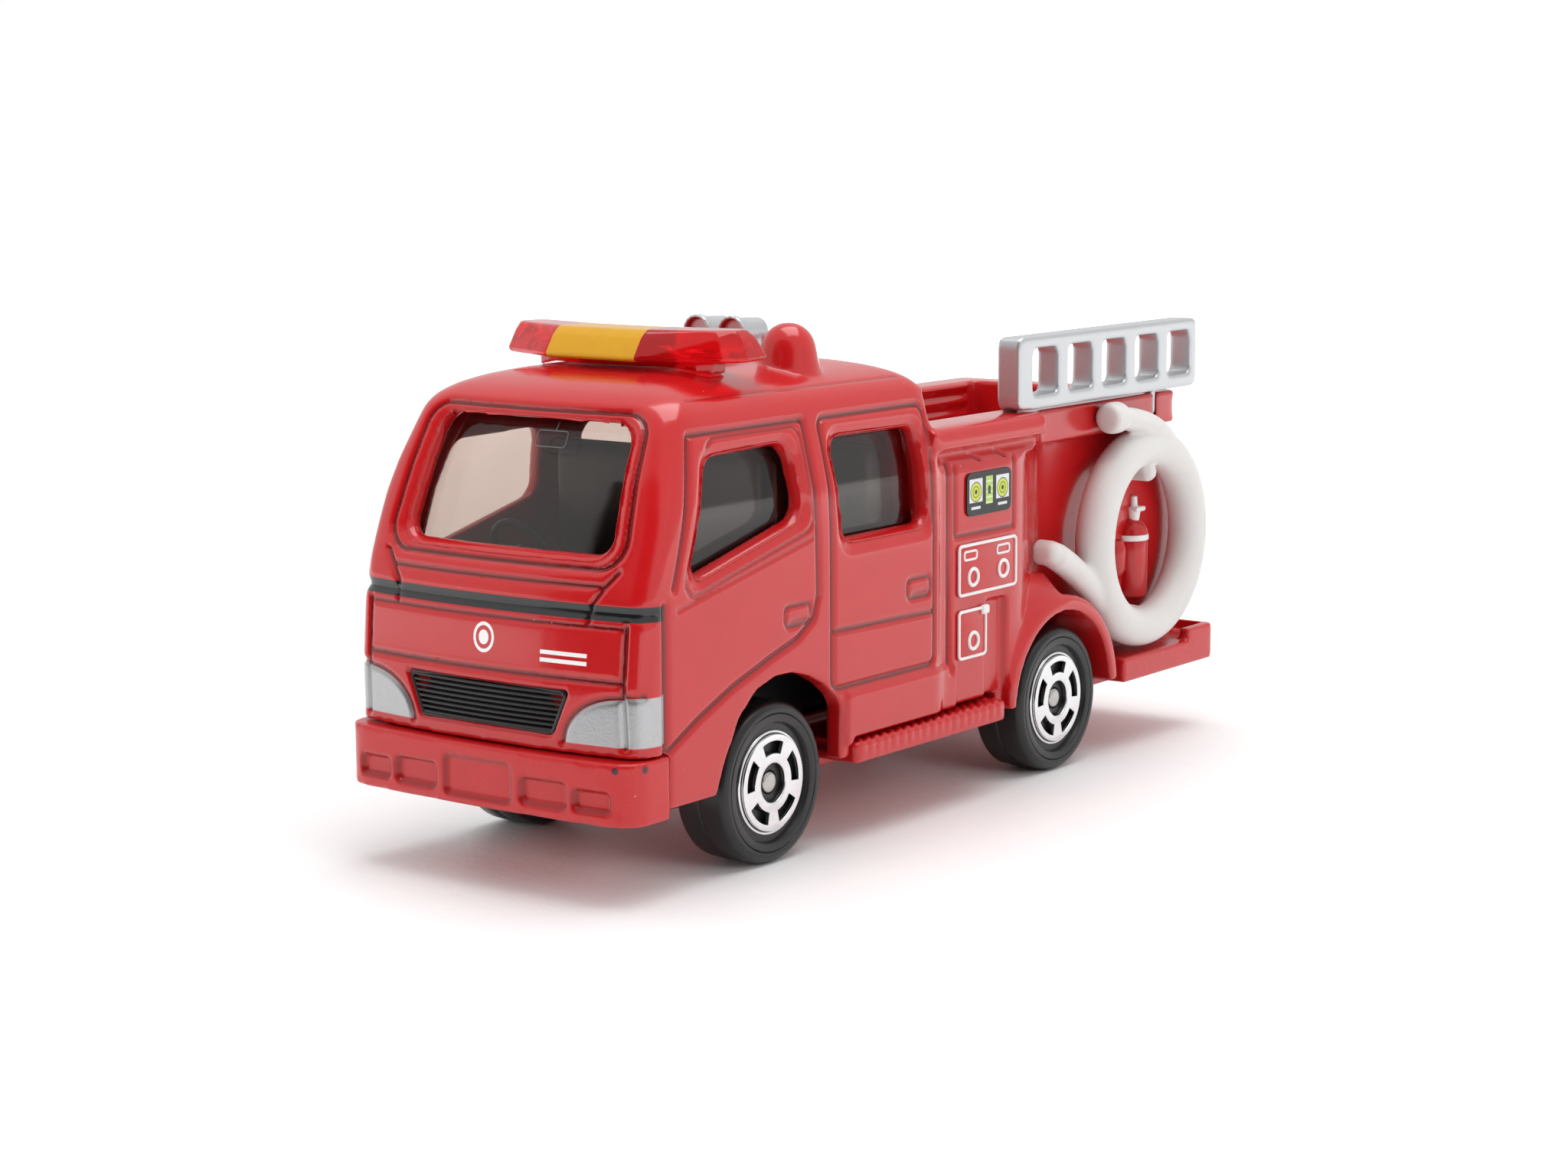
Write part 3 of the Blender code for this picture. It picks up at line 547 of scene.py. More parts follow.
def light_bar_finish():
    """Clear red moulding with the middle painted yellow."""
    p = Paint("clear_red_and_yellow")
    yellow_half, yellow_low = 3.8, 33.3
    painted = p.both(p.between(p.x, -yellow_half, yellow_half, 0.05),
                     p.below(p.calc("MULTIPLY", p.z, -1.0), -yellow_low, 0.1))
    red = p.mix((0.92, 0.008, 0.012), (0.74, 0.004, 0.008), p.noise(0.6, 2.0))
    yellow = p.mix((0.64, 0.33, 0.002), (0.58, 0.28, 0.002), p.noise(1.1, 3.0))
    clear = p.calc("MULTIPLY_ADD", painted, -0.65, 0.65)
    p.set(Base_Color=p.mix(red, yellow, painted), Transmission_Weight=clear,
          Roughness=p.blend(0.05, 0.22, painted), IOR=1.49, Normal=p.bump(p.noise(1.4, 2.0), 0.012, 0.3))
    return p.material


METAL_SHARE = 0.75


def silver(name, mouth_y=None):
    """Silver lacquer with fine flakes; mouth_y paints the inside of the siren's horns red."""
    p = Paint(name)
    flakes = p.noise(14.0, 2.0, 0.7)
    colour = p.mix((0.66, 0.67, 0.68), (0.50, 0.51, 0.53), flakes)
    metal = METAL_SHARE
    if mouth_y is not None:
        mouth = p.both(p.attribute("mouth"), p.below(p.y, mouth_y + 0.5, 0.1))
        colour = p.mix(colour, (0.42, 0.01, 0.012), mouth)
        metal = p.calc("SUBTRACT", METAL_SHARE, p.calc("MULTIPLY", mouth, METAL_SHARE))
    p.set(Base_Color=colour, Metallic=metal, Roughness=p.blend(0.30, 0.42, p.noise(2.5, 4.0)),
          Normal=p.bump(flakes, 0.012, 0.35))
    return p.material


def chrome():
    """Hot-stamped chrome with faint handling marks."""
    p = Paint("hub_chrome")
    p.set(Base_Color=p.mix((0.86, 0.86, 0.87), (0.72, 0.72, 0.73), p.noise(3.0, 4.0)), Metallic=1.0,
          Roughness=p.blend(0.10, 0.2, p.noise(4.0, 4.0)), Normal=p.bump(p.noise(5.0, 2.0), 0.01, 0.4))
    return p.material


def label_finish():
    """Printed gauges: two yellow-green dials, a key block between them, pale marks on black."""
    p = Paint("gauge_print")
    low, high = LABEL_LOW, LABEL_HIGH
    middle_y, middle_z = (low.y + high.y) / 2, (low.z + high.z) / 2 + 0.15
    colour = (0.018, 0.022, 0.020)
    pale, lime, ink = (0.70, 0.68, 0.72), (0.55, 0.62, 0.06), (0.03, 0.05, 0.02)
    dial_pitch, dial_r = 1.75, 0.66
    for way in (-1, 1):
        y, z = middle_y + way * dial_pitch, middle_z
        plate = p.both(p.between(p.y, y - 0.85, y + 0.85), p.between(p.z, z - 0.75, z + 0.95))
        r = p.radius_from(p.y, p.z, (y, z))
        colour = p.mix(colour, pale, plate)
        colour = p.mix(colour, lime, p.below(r, dial_r))
        colour = p.mix(colour, ink, p.either(p.between(r, dial_r, dial_r + 0.07), p.below(r, 0.17),
                                             p.between(r, 0.36, 0.42)))
        mark = p.both(p.between(p.y, y - 0.6, y + 0.6), p.between(p.z, z - 1.25, z - 1.05))
        colour = p.mix(colour, pale, mark)
    key_block = p.both(p.between(p.y, middle_y - 0.45, middle_y + 0.45),
                       p.between(p.z, middle_z - 1.0, middle_z + 1.0))
    rows = p.below(p.calc("FRACT", p.calc("MULTIPLY", p.z, 2.6)), 0.3, 0.1)
    colour = p.mix(colour, p.mix((0.42, 0.58, 0.12), (0.62, 0.72, 0.40), rows), key_block)
    hollow = p.both(p.between(p.y, middle_y - 0.18, middle_y + 0.18),
                    p.between(p.z, middle_z - 0.3, middle_z + 0.3))
    colour = p.mix(colour, ink, hollow)
    p.set(Base_Color=colour, Roughness=p.blend(0.38, 0.5, p.noise(2.0)),
          Normal=p.bump(p.noise(3.0), 0.01, 0.3))
    return p.material


RED = enamel()
BASE = base_red()
GLASS = smoked()
BAR = light_bar_finish()
SIREN_SILVER = silver("siren_silver", mouth_y=node_box("roof_siren")[0].y)
LADDER_SILVER = silver("ladder_silver")
CHROME = chrome()
LABEL = label_finish()
BLACK = plastic("black_moulding", (0.011, 0.011, 0.012), (0.016, 0.016, 0.017), 0.34, dust=0.06)
TYRE = plastic("tyre_black", (0.007, 0.007, 0.008), (0.011, 0.011, 0.011), 0.28, dust=0.05, grain=1.0)
MARK = plastic("smoked_mark", (0.16, 0.15, 0.145), (0.12, 0.115, 0.11), 0.2, dust=0.0)
GRILLE = plastic("grille_black", (0.010, 0.010, 0.011), (0.016, 0.016, 0.016), 0.22, dust=0.14)
WHITE = plastic("hose_white", (0.70, 0.685, 0.67), (0.66, 0.64, 0.625), 0.42, dust=0.0, grain=0.8,
                Subsurface_Weight=0.12, Subsurface_Scale=0.002)
PRINT = plastic("white_print", WHITE_PRINT, (0.78, 0.72, 0.71), 0.42, dust=0.0)
PLAIN_RED = plastic("red_relief", ENAMEL, (0.46, 0.008, 0.008), 0.2, Coat_Weight=0.3, Coat_Roughness=0.08)
STEEL = plastic("axle_steel", (0.56, 0.55, 0.53), (0.45, 0.44, 0.42), 0.24, metallic=1.0, dust=0.0, grain=3.0)
SPRING = plastic("spring_black", (0.04, 0.04, 0.04), (0.06, 0.055, 0.05), 0.4)


# ---------------------------------------------------------------- relief in the skins
class Relief:
    """Grooves, ridges and sunk panels on a skin, as distances along its normals, with the painted shade that
    darkens them.

    A place on the skin is a pair of rows, the point and the skin's normal there.
    """

    def __init__(self, node):
        skin = cad_copy(node)
        self.tree = BVHTree.FromBMesh(skin)
        skin.free()
        self.lines = []
        self.panels = []

    def on_front(self, x, z):
        hit, normal = self.tree.ray_cast(Vector((x, -60.0, z)), Vector((0, 1, 0)))[:2]
        if hit is None or hit.y > -24.0:
            hit, normal = self.tree.find_nearest(Vector((x, -34.0, z)))[:2]
        return np.array([hit, normal])

    def on_side(self, side, y, z):
        hit, normal = self.tree.ray_cast(Vector((side * 30.0, y, z)), Vector((-side, 0, 0)))[:2]
        if hit is None or hit.x * side < 7.0:
            hit, normal = self.tree.find_nearest(Vector((side * 12.2, y, z)))[:2]
        return np.array([hit, normal])

    def on_back(self, x, z):
        hit, normal = self.tree.ray_cast(Vector((x, 60.0, z)), Vector((0, -1, 0)))[:2]
        return np.array([hit, normal])

    def line(self, place, points, width, depth, closed=False, dark=1.0):
        """A soft groove (or ridge, with a negative depth) along a path laid on the skin; dark is how much
        painted shade it gets.
        """
        ends = list(points) + ([points[0]] if closed else [])
        path = []
        for a, b in zip(ends, ends[1:]):
            steps = max(1, round(math.dist(a, b) / 0.8))
            path += [place(*(u + (v - u) * k / steps for u, v in zip(a, b))) for k in range(steps)]
        path.append(place(*ends[-1]))
        self.lines.append((np.array(path), width, depth, dark))

    def front(self, points, width=0.22, depth=0.28, **more):
        self.line(self.on_front, points, width, depth, **more)

    def back(self, points, width=0.22, depth=0.28, **more):
        self.line(self.on_back, points, width, depth, **more)

    def front_pair(self, points, *sizes, **more):
        for way in (-1, 1):
            self.front([(way * x, z) for x, z in points], *sizes, **more)

    def sides(self, points, width=0.22, depth=0.28, **more):
        for side in (-1, 1):
            self.line(lambda y, z, s=side: self.on_side(s, y, z), points, width, depth, **more)

    def panel(self, axis, facing, centre, half, corner, depth, soft=0.12, spread=0.0):
        """Sink (or raise, with a negative depth) a rounded rectangle that faces along an axis.

        Spread widens it by that many millimetres for each one upward.
        """
        self.panels.append((axis, facing, centre, half, corner, depth, soft, spread))

    def amounts(self, points, normals, pressed=False):
        """How far each vertex moves along its normal, and how much painted shade it gets.

        Once the skin is pressed, its grooves lie their own depth under where they were drawn.
        """
        move = np.zeros(len(points))
        dark = np.zeros(len(points))
        for path, width, depth, shade in self.lines:
            path = path[:, 0] - (depth * path[:, 1] if pressed else 0.0)
            reach = 3.0 * width
            low, high = path.min(axis=0) - reach, path.max(axis=0) + reach
            chosen = np.nonzero(np.all((points > low) & (points < high), axis=1))[0]
            spots = points[chosen]
            best = np.full(len(spots), np.inf)
            for a, b in zip(path, path[1:]):
                along = b - a
                t = np.clip((spots - a) @ along / max(along @ along, 1e-9), 0, 1)
                gap = spots - a - t[:, None] * along
                best = np.minimum(best, np.einsum("ij,ij->i", gap, gap))
            fade = np.exp(-best / width ** 2)
            if depth > 0:
                move[chosen] = np.minimum(move[chosen], -depth * fade)
            else:
                move[chosen] -= depth * fade
            # painted shade along the groove
            dark[chosen] = np.maximum(dark[chosen], shade * np.exp(-best / (0.75 * width) ** 2))
        for axis, facing, centre, half, corner, depth, soft, spread in self.panels:
            others = [k for k in range(3) if k != axis]
            away = points[:, others] - np.array(centre)
            offset = np.abs(away) - np.array(half) + corner
            offset[:, 0] -= spread * away[:, 1]
            gap = np.linalg.norm(np.maximum(offset, 0), axis=1) + np.minimum(offset.max(axis=1), 0) - corner
            faces = ramp(normals[:, axis] * facing, 0.4, 0.8) * (points[:, axis] * facing > 0)
            move -= depth * ramp(-gap, -soft, soft) * faces
            # painted shade along the rim of a sunk panel
            rim = np.exp(-(gap / 0.16) ** 2) * faces
            dark = np.maximum(dark, 0.55 * rim * (depth > 0))
        return move, dark

    def press(self, mesh):
        points = coordinates(mesh)
        normals = vertex_normals(mesh)
        move, _ = self.amounts(points, normals)
        set_coordinates(mesh, points + move[:, None] * normals)
        return mesh

    def mark(self, mesh):
        """Store each vertex's painted shade in grooves and along sunk-panel rims, for the paint."""
        _, dark = self.amounts(coordinates(mesh), vertex_normals(mesh), pressed=True)
        layer = mesh.attributes.new("groove", "FLOAT", "POINT")
        layer.data.foreach_set("value", np.clip(dark, 0, 1).astype(np.float32))
        return mesh


# window openings of the casting, as (along, height) outlines
SIDE_FRONT_WINDOW = [(-27.2, 27.6), (-30.0, 20.2), (-18.1, 23.1), (-18.5, 27.8)]
SIDE_REAR_WINDOW = [(-13.8, 27.7), (-13.2, 21.0), (-3.4, 21.0), (-3.7, 27.6)]
WINDSCREEN = [(-8.0, 29.9), (-8.7, 22.0), (8.7, 22.0), (8.0, 29.9)]
GRILLE_LOW, GRILLE_TOP = 10.7, 13.45
GRILLE_LOW_HALF, GRILLE_TOP_HALF = 5.55, 6.75
GRILLE_TAPER = (GRILLE_TOP_HALF - GRILLE_LOW_HALF) / (GRILLE_TOP - GRILLE_LOW)
NOSE_BOW = 0.0077                          # how the nose falls back, per square millimetre sideways
BOARD_FRONT, BOARD_REAR = -12.2, 6.0       # running boards


def casting_relief():
    r = Relief("body_casting")
    # dark= sets how much painted shade a line gets; 0 gives none, 1 is the default
    # windscreen: eased opening, rounded frame, groove round the frame
    r.front(rounded(grown(WINDSCREEN, 0.25), 1.1), 0.62, 0.42, closed=True, dark=0.0)
    r.front(rounded([(-9.2, 30.75), (-10.2, 21.3), (10.2, 21.3), (9.2, 30.75)], 1.7), 0.26, 0.34, closed=True)
    # cowl steps and the notches at their ends
    r.front([(-9.1, 20.25), (9.1, 20.25)], 0.2, 0.22)
    r.front_pair([(9.9, 21.2), (9.1, 20.25), (8.35, 19.2), (8.2, 18.0)], 0.2, 0.3)
    r.front([(-12.25, 18.62), (12.25, 18.62)], 0.42, 0.26, dark=0.0)
    r.front([(-11.1, 17.75), (11.1, 17.75)], 0.18, 0.16)
    # front panel
    r.front_pair([(11.0, 17.9), (10.95, 14.2), (LAMP_JOINT_X, LAMP_LOW)], 0.24, 0.32)
    r.front([(-10.9, 14.35), (10.9, 14.35)], 0.22, 0.26)
    r.front_pair([(LAMP_JOINT_X, LAMP_HIGH + 0.12), (12.2, LAMP_HIGH + 0.12)], 0.2, 0.24)
    # headlights: curved upper edge, raised glass
    lamp = arc((LAMP_JOINT_X, LAMP_LOW), 1.0, 180, 90, 10)
    lamp = [(LAMP_JOINT_X + (x - LAMP_JOINT_X) * (LAMP_WIDE + 0.08),
             LAMP_LOW + (z - LAMP_LOW) * (LAMP_TALL + 0.11)) for x, z in lamp]
    r.front_pair(lamp, 0.2, 0.26)
    # sides: corner, doors, waist, handles, seam of the roof
    r.sides([(CORNER_Y, 9.6), (CORNER_Y, 19.0)], 0.26, 0.34)
    r.sides([(-28.9, 29.35), (-16.75, 29.35), (-16.55, 17.6), (-17.1, 16.1), (-18.9, 15.0), (-22.0, 14.1),
             (-26.0, 12.8), (-29.5, 11.3), (-32.6, 9.7)], 0.22, 0.3)
    r.sides([(-28.9, 29.35), (-31.9, 20.0)], 0.22, 0.3)
    r.sides(rounded([(-15.0, 29.3), (-14.95, 10.9), (-2.65, 10.9), (-2.75, 29.3)], 0.7), 0.22, 0.3,
            closed=True)
    r.sides([(-14.9, 14.9), (-2.65, 14.65)], 0.2, 0.24)
    r.sides([(-31.6, 18.6), (-17.2, 21.6)], 0.16, 0.1, dark=0.3)
    for low, high in ((-20.3, -17.5), (-6.1, -3.3)):
        r.sides(rounded([(low, 17.3), (low, 15.9), (high, 15.9), (high, 17.3)], 0.45), 0.16, 0.18,
                closed=True)
        r.sides([(low + 0.6, 16.15), (high - 0.5, 16.2)], 0.22, 0.14, dark=0.6)
    r.sides(rounded([(-27.0, 29.0), (-31.35, 18.9), (-17.0, 22.2), (-17.4, 29.0)], [1.2, 0.9, 1.2, 0.8]),
            0.16, 0.16, closed=True, dark=0.6)
    r.sides(rounded(grown(SIDE_FRONT_WINDOW, 0.25), [1.2, 0.6, 1.2, 1.2]), 0.6, 0.4, closed=True, dark=0.0)
    r.sides(rounded(grown(SIDE_REAR_WINDOW, 0.25), 0.9), 0.6, 0.4, closed=True, dark=0.0)
    r.sides([(-27.5, 31.4), (-4.0, 31.2)], 0.12, 0.05, dark=0.5)
    # pump panel
    r.sides([(-0.35, 24.9), (-0.35, 10.0)], 0.25, 0.3)
    r.sides([(0.45, 24.6), (0.45, 19.5), (8.2, 19.5), (8.2, 24.6)], 0.18, 0.2)
    for y in (3.1, 6.4):
        r.sides([(y, 25.15), (y + 0.8, 24.75)], 0.14, 0.22)
    # shutter and grab handles on the tail
    r.back(rounded([(-5.6, 21.6), (-5.6, 11.6), (5.6, 11.6), (5.6, 21.6)], 0.6), closed=True)
    for z in (13.0, 14.4, 15.8, 17.2, 18.6, 20.0):
        r.back([(-5.2, z), (5.2, z)], 0.2, 0.14, dark=0.4)
    for way in (-1, 1):
        r.back([(way * 6.9, 19.5), (way * 6.9, 13.5)], 0.3, -0.3)
    # sunk panel of the grille
    middle_z, middle_half = (GRILLE_LOW + GRILLE_TOP) / 2, (GRILLE_LOW_HALF + GRILLE_TOP_HALF) / 2
    r.panel(1, -1, (0.0, middle_z), (middle_half + 0.15, 1.45), 0.3, 0.5, 0.16, spread=GRILLE_TAPER)
    # sill box under the rear door
    for side in (-1, 1):
        r.panel(0, side, (-6.6, 8.6), (7.0, 1.8), 0.4, -0.3, 0.2)
    return r


def rib_inner_walls(mesh):
    """Three shallow ribs along the inner walls of the hose bed."""
    points = coordinates(mesh)
    normals = vertex_normals(mesh)
    x, y, z = points.T
    height, pitch, crest_z = 0.16, 1.15, 26.9
    inner = (np.abs(x) < 8.3) & (np.sign(x) * normals[:, 0] < -0.6)
    inner &= (y > 2.5) & (y < 31.5) & (z > 23.5)
    wave = height * np.cos(math.tau * (z - crest_z) / pitch)
    set_coordinates(mesh, points + np.where(inner, wave, 0)[:, None] * normals)


def casting():
    r = casting_relief()
    mesh = softened(cad_copy("body_casting"), voxel=0.165, edge_rounds=6, flat_rounds=40)
    r.press(mesh)
    rib_inner_walls(mesh)
    mesh = thinned(mesh, 192000)
    # store the painted shade of grooves and panel rims for the enamel
    r.mark(mesh)
    add_piece("enamelled_body", mesh, "body", RED, ["body_casting"])


def tread_boards(mesh):
    """Studs in a diamond pattern on the running boards, and a notched outer edge."""
    points = coordinates(mesh)
    normals = vertex_normals(mesh)
    along, up = points[:, 1], points[:, 2]
    out = np.abs(points[:, 0])
    pitch = 0.95
    board = (along > BOARD_FRONT) & (along < BOARD_REAR)
    top = board & (out > 9.0) & (normals[:, 2] > 0.7) & (up > 6.3)
    stagger = np.cos(math.tau * along / pitch) * np.cos(math.tau * (out - 10.0) / pitch)
    bumps = np.where(top, 0.16 * ramp(stagger, 0.15, 0.75), 0)
    edge = board & (out > 12.5) & (up > 5.3) & (up < 6.95)
    grip = ramp(np.cos(math.tau * along / pitch), 0.0, 0.6) * ramp(up, 5.7, 6.1)
    bumps -= np.where(edge, 0.06 * grip, 0)
    set_coordinates(mesh, points + bumps[:, None] * normals)


def base():
    r = Relief("base_plate")
    r.panel(1, -1, (0.0, 7.2), (2.85, 1.25), 0.35, 0.28)
    for way in (-1, 1):
        r.panel(1, -1, (way * 5.5, 6.95), (1.85, 0.82), 0.4, 0.42)
        r.panel(1, -1, (way * 9.35, 6.85), (1.4, 0.66), 0.35, 0.42)
    mesh = softened(cad_copy("base_plate"), voxel=0.2, edge_rounds=4, flat_rounds=20)
    r.press(mesh)
    tread_boards(mesh)
    mesh = thinned(mesh, 150000)
    # store the painted shade of grooves and panel rims for the base's red
    r.mark(mesh)
    add_piece("red_base", mesh, "body", BASE, ["base_plate"])


def bowed_path(outline, y):
    """Lay an (across, height) outline on the bowed nose, y being its most forward place."""
    return [(x, y + NOSE_BOW * x * x, z) for x, z in outline]


def grille():
    """Eight slats in a sunk tapered panel."""
    parts = []
    count, steps = 8, 24
    pitch = (GRILLE_TOP - GRILLE_LOW) / count
    for k in range(count):
        z = GRILLE_LOW + pitch * (k + 0.5)
        half = GRILLE_LOW_HALF + GRILLE_TAPER * (z - GRILLE_LOW)
        slat = [(-half + 2 * half * i / steps, z) for i in range(steps + 1)]
        parts.append(curve_mesh(bowed_path(slat, -36.1), 0.11, sides=3))
    back = block((-GRILLE_TOP_HALF, -35.85, GRILLE_LOW), (GRILLE_TOP_HALF, -35.25, GRILLE_TOP))
    bmesh.ops.subdivide_edges(back, edges=back.edges[:], cuts=12, use_grid_fill=True)
    for vert in back.verts:
        half = GRILLE_LOW_HALF + GRILLE_TAPER * (vert.co.z - GRILLE_LOW)
        vert.co.x *= half / GRILLE_TOP_HALF
        vert.co.y += NOSE_BOW * vert.co.x ** 2
    parts.append(back)
    outline = rounded([(-GRILLE_TOP_HALF, GRILLE_TOP), (-GRILLE_LOW_HALF, GRILLE_LOW),
                       (GRILLE_LOW_HALF, GRILLE_LOW), (GRILLE_TOP_HALF, GRILLE_TOP)], 0.3)
    parts.append(curve_mesh(bowed_path(outline, -36.12), 0.14, closed=True, sides=3))
    add_piece("grille", to_mesh(join(*parts)), "body", GRILLE, sharp=50)


def glass():
    mesh = thinned(softened(cad_copy("glazing"), 0.22, 3, 30), 120000)
    add_piece("smoked_windows", mesh, "body", GLASS, ["glazing"])
    screen = Relief("glazing")
    outline = rounded([(0.0, 29.2), (0.0, 28.2), (2.5, 28.2), (2.5, 29.2)], 0.2)
    frame_line = curve_mesh([screen.on_front(x, z)[0] for x, z in outline], 0.045, closed=True, sides=2)
    stem = curve_mesh([screen.on_front(1.4, 29.2)[0], screen.on_front(1.5, 29.75)[0]], 0.045, sides=2)
    add_piece("mirror_outline", to_mesh(join(frame_line, stem)), "body", MARK)


def cabin():
    tub = thinned(softened(cad_copy("interior_tub"), 0.3, 4, 10), 60000)
    add_piece("seats_and_floor", tub, "body", BLACK, ["interior_tub"])
    wheel = thinned(softened(cad_copy("steering_wheel"), 0.12, 2, 4), 30000)
    add_piece("driver_wheel", wheel, "body", BLACK, ["steering_wheel"])


def roof_gear():
    bar = thinned(softened(cad_copy("light_bar"), 0.13, 3, 6), 120000)
    add_piece("warning_light", bar, "body", BAR, ["light_bar"])
    siren = softened(cad_copy("roof_siren"), 0.1, 2, 8)
    points = coordinates(siren)
    low, high = node_box("roof_siren")
    inside = np.zeros(len(points))
    horn_r, mouth_depth = 1.0, 0.7
    for x in (-3.9, -0.8):
        gap = np.hypot(points[:, 0] - x, points[:, 2] - (high.z - 1.22))
        inside = np.maximum(inside, (gap < horn_r) & (points[:, 1] < low.y + mouth_depth))
    layer = siren.attributes.new("mouth", "FLOAT", "POINT")
    layer.data.foreach_set("value", inside.astype(np.float32))
    add_piece("twin_siren", siren, "body", SIREN_SILVER, ["roof_siren"])


def side_ladder():
    mesh = thinned(softened(cad_copy("ladder"), 0.16, 3, 8), 110000)
    add_piece("side_ladder", mesh, "body", LADDER_SILVER, ["ladder"])


def hose(side, name, node):
    """Coiled white suction hose with two couplings and its pegs."""
    centre_x, centre_y, centre_z = 11.2, 28.1, 16.3
    ring_r, tube_r = 7.15, 1.55
    ring = turned([(centre_x + a, ring_r + b) for a, b in arc((0, 0), tube_r, 0, 345, 23)],
                  (0, centre_y, centre_z), steps=128)
    upper = curve_mesh([(11.6, 23.0, 26.1), (11.7, 25.6, 25.8), (11.8, 28.6, 25.0), (11.6, 31.6, 23.2),
                        (11.3, 33.5, 20.3)], 0.95, kind="NURBS", sides=6)
    lower = curve_mesh([(11.0, 15.4, 16.3), (11.1, 17.2, 15.4), (11.2, 19.6, 13.6), (11.2, 22.4, 11.4)],
                       1.08, kind="NURBS", sides=6)
    head = turned([(-1.0, 0), (-1.0, 0.8), (-0.8, 1.12), (-0.4, 1.24), (0.7, 1.24), (1.1, 1.0), (1.3, 0)],
                  (11.62, 22.8, 26.1), "Y", 48)
    knob = turned([(9.75, 0), (9.75, 0.97), (10.9, 0.97)] + arc((10.9, 0), 0.97, 75, 0, 6),
                  (0, 15.1, 16.5), "X", 48)
    pegs = [turned([(7.6, 0), (7.6, 0.5), (7.75, 0.6), (10.6, 0.6), (10.6, 0)], (0, centre_y, z), "X", 32)
            for z in (22.4, 10.2)]
    lug = turned([(9.9, 0), (9.9, 0.8), (11.6, 0.8), (12.0, 0.5), (12.1, 0)],
                 (0, centre_y + 0.3, 21.4), "X", 32)
    mesh = softened(join(ring, upper, lower, head, knob, lug, *pegs), 0.15, 3, 10)
    bm = bmesh.new()
    bm.from_mesh(mesh)
    bpy.data.meshes.remove(mesh)
    if side < 0:
        mirror_x(bm)
    mesh = thinned(to_mesh(bm), 110000)
    add_piece(name, mesh, "body", WHITE, [node])


def wheel(side, axle_y, name, node, body):
    """Tyre and hub in one black moulding with rings pressed into the side wall."""
    face = WHEEL_OUT
    outline = [(WHEEL_IN, AXLE_R + 0.05), (WHEEL_IN, 4.4)]
    outline += [(WHEEL_IN + 0.55 + u, 4.85 + v) for u, v in arc((0, 0), 0.6, 180, 110, 6)]
    outline += [(WHEEL_IN + 1.6, TYRE_R), (WHEEL_IN + 1.95, TYRE_R), (WHEEL_IN + 2.05, TYRE_R - 0.08),
                (WHEEL_IN + 2.15, TYRE_R), (face - 1.0, TYRE_R)]
    outline += [(face - 0.62 + u, 4.85 + v) for u, v in arc((0, 0), 0.62, 80, 5, 8)]
    outline += [(face - 0.03, 4.72), (face - 0.1, 4.66), (face - 0.03, 4.6), (face - 0.06, 4.25),
                (face - 0.12, 4.1), (face - 0.42, 3.98), (face - 0.42, 3.5), (face - 0.3, 3.38),
                (face - 0.3, 2.9), (face - 0.62, 2.85), (face - 0.62, 1.95), (face - 0.3, 1.9),
                (face - 0.3, 1.5), (face - 0.5, 1.4), (face - 0.5, AXLE_R + 0.05)]
    tyre = turned(outline, steps=112)
    slots = []
    count, inner_r, outer_r, width = 5, 2.0, 2.82, 46.0
    for k in range(count):
        middle = 90 + 360 * k / count
        slots.append(arc((0, 0), outer_r, middle - width / 2, middle + width / 2, 12)
                     + arc((0, 0), inner_r, middle + width / 2, middle - width / 2, 10))
    rings = [arc((0, 0), 3.28, 0, 354, 59), arc((0, 0), 1.42, 0, 348, 29)]
    plate = flat_cutout(rings + slots, 0.3, 0.06)
    bmesh.ops.translate(plate, vec=(face - 0.22, 0, 0), verts=plate.verts)
    rim = turned([(face - 0.4 + u, 3.42 + v) for u, v in arc((0, 0), 0.13, 0, 330, 11)], steps=112)
    hub = turned([(face - 0.18 + u, 1.42 + v) for u, v in arc((0, 0), 0.1, 0, 330, 11)], steps=64)
    chrome_parts = join(plate, rim, hub)
    for bm in (tyre, chrome_parts):
        if side < 0:
            mirror_x(bm)
        bmesh.ops.translate(bm, vec=(0, axle_y, TYRE_R), verts=bm.verts)
    add_piece(name, to_mesh(tyre), body, TYRE, [node], sharp=40)
    add_piece(name + "_chrome", to_mesh(chrome_parts), body, CHROME, sharp=40)


def axle(axle_y, name, node, body):
    """Plain pin with rounded ends."""
    ease = 0.28
    half = arc((AXLE_HALF - ease, AXLE_R - ease), ease, 90, 0, 4)
    outline = [(-x, r) for x, r in reversed(half)]
    outline = [(-AXLE_HALF, 0)] + outline + half + [(AXLE_HALF, 0)]
    pin = turned(outline, (0, axle_y, TYRE_R), steps=48)
    add_piece(name, to_mesh(pin), body, STEEL, [node], sharp=50)


def add_fitting(side, name, parts, material):
    """A small piece drawn on the left of the body, mirrored when it belongs on the right."""
    bm = join(*parts)
    if side < 0:
        mirror_x(bm)
    add_piece(name, to_mesh(bm), "body", material, sharp=50)


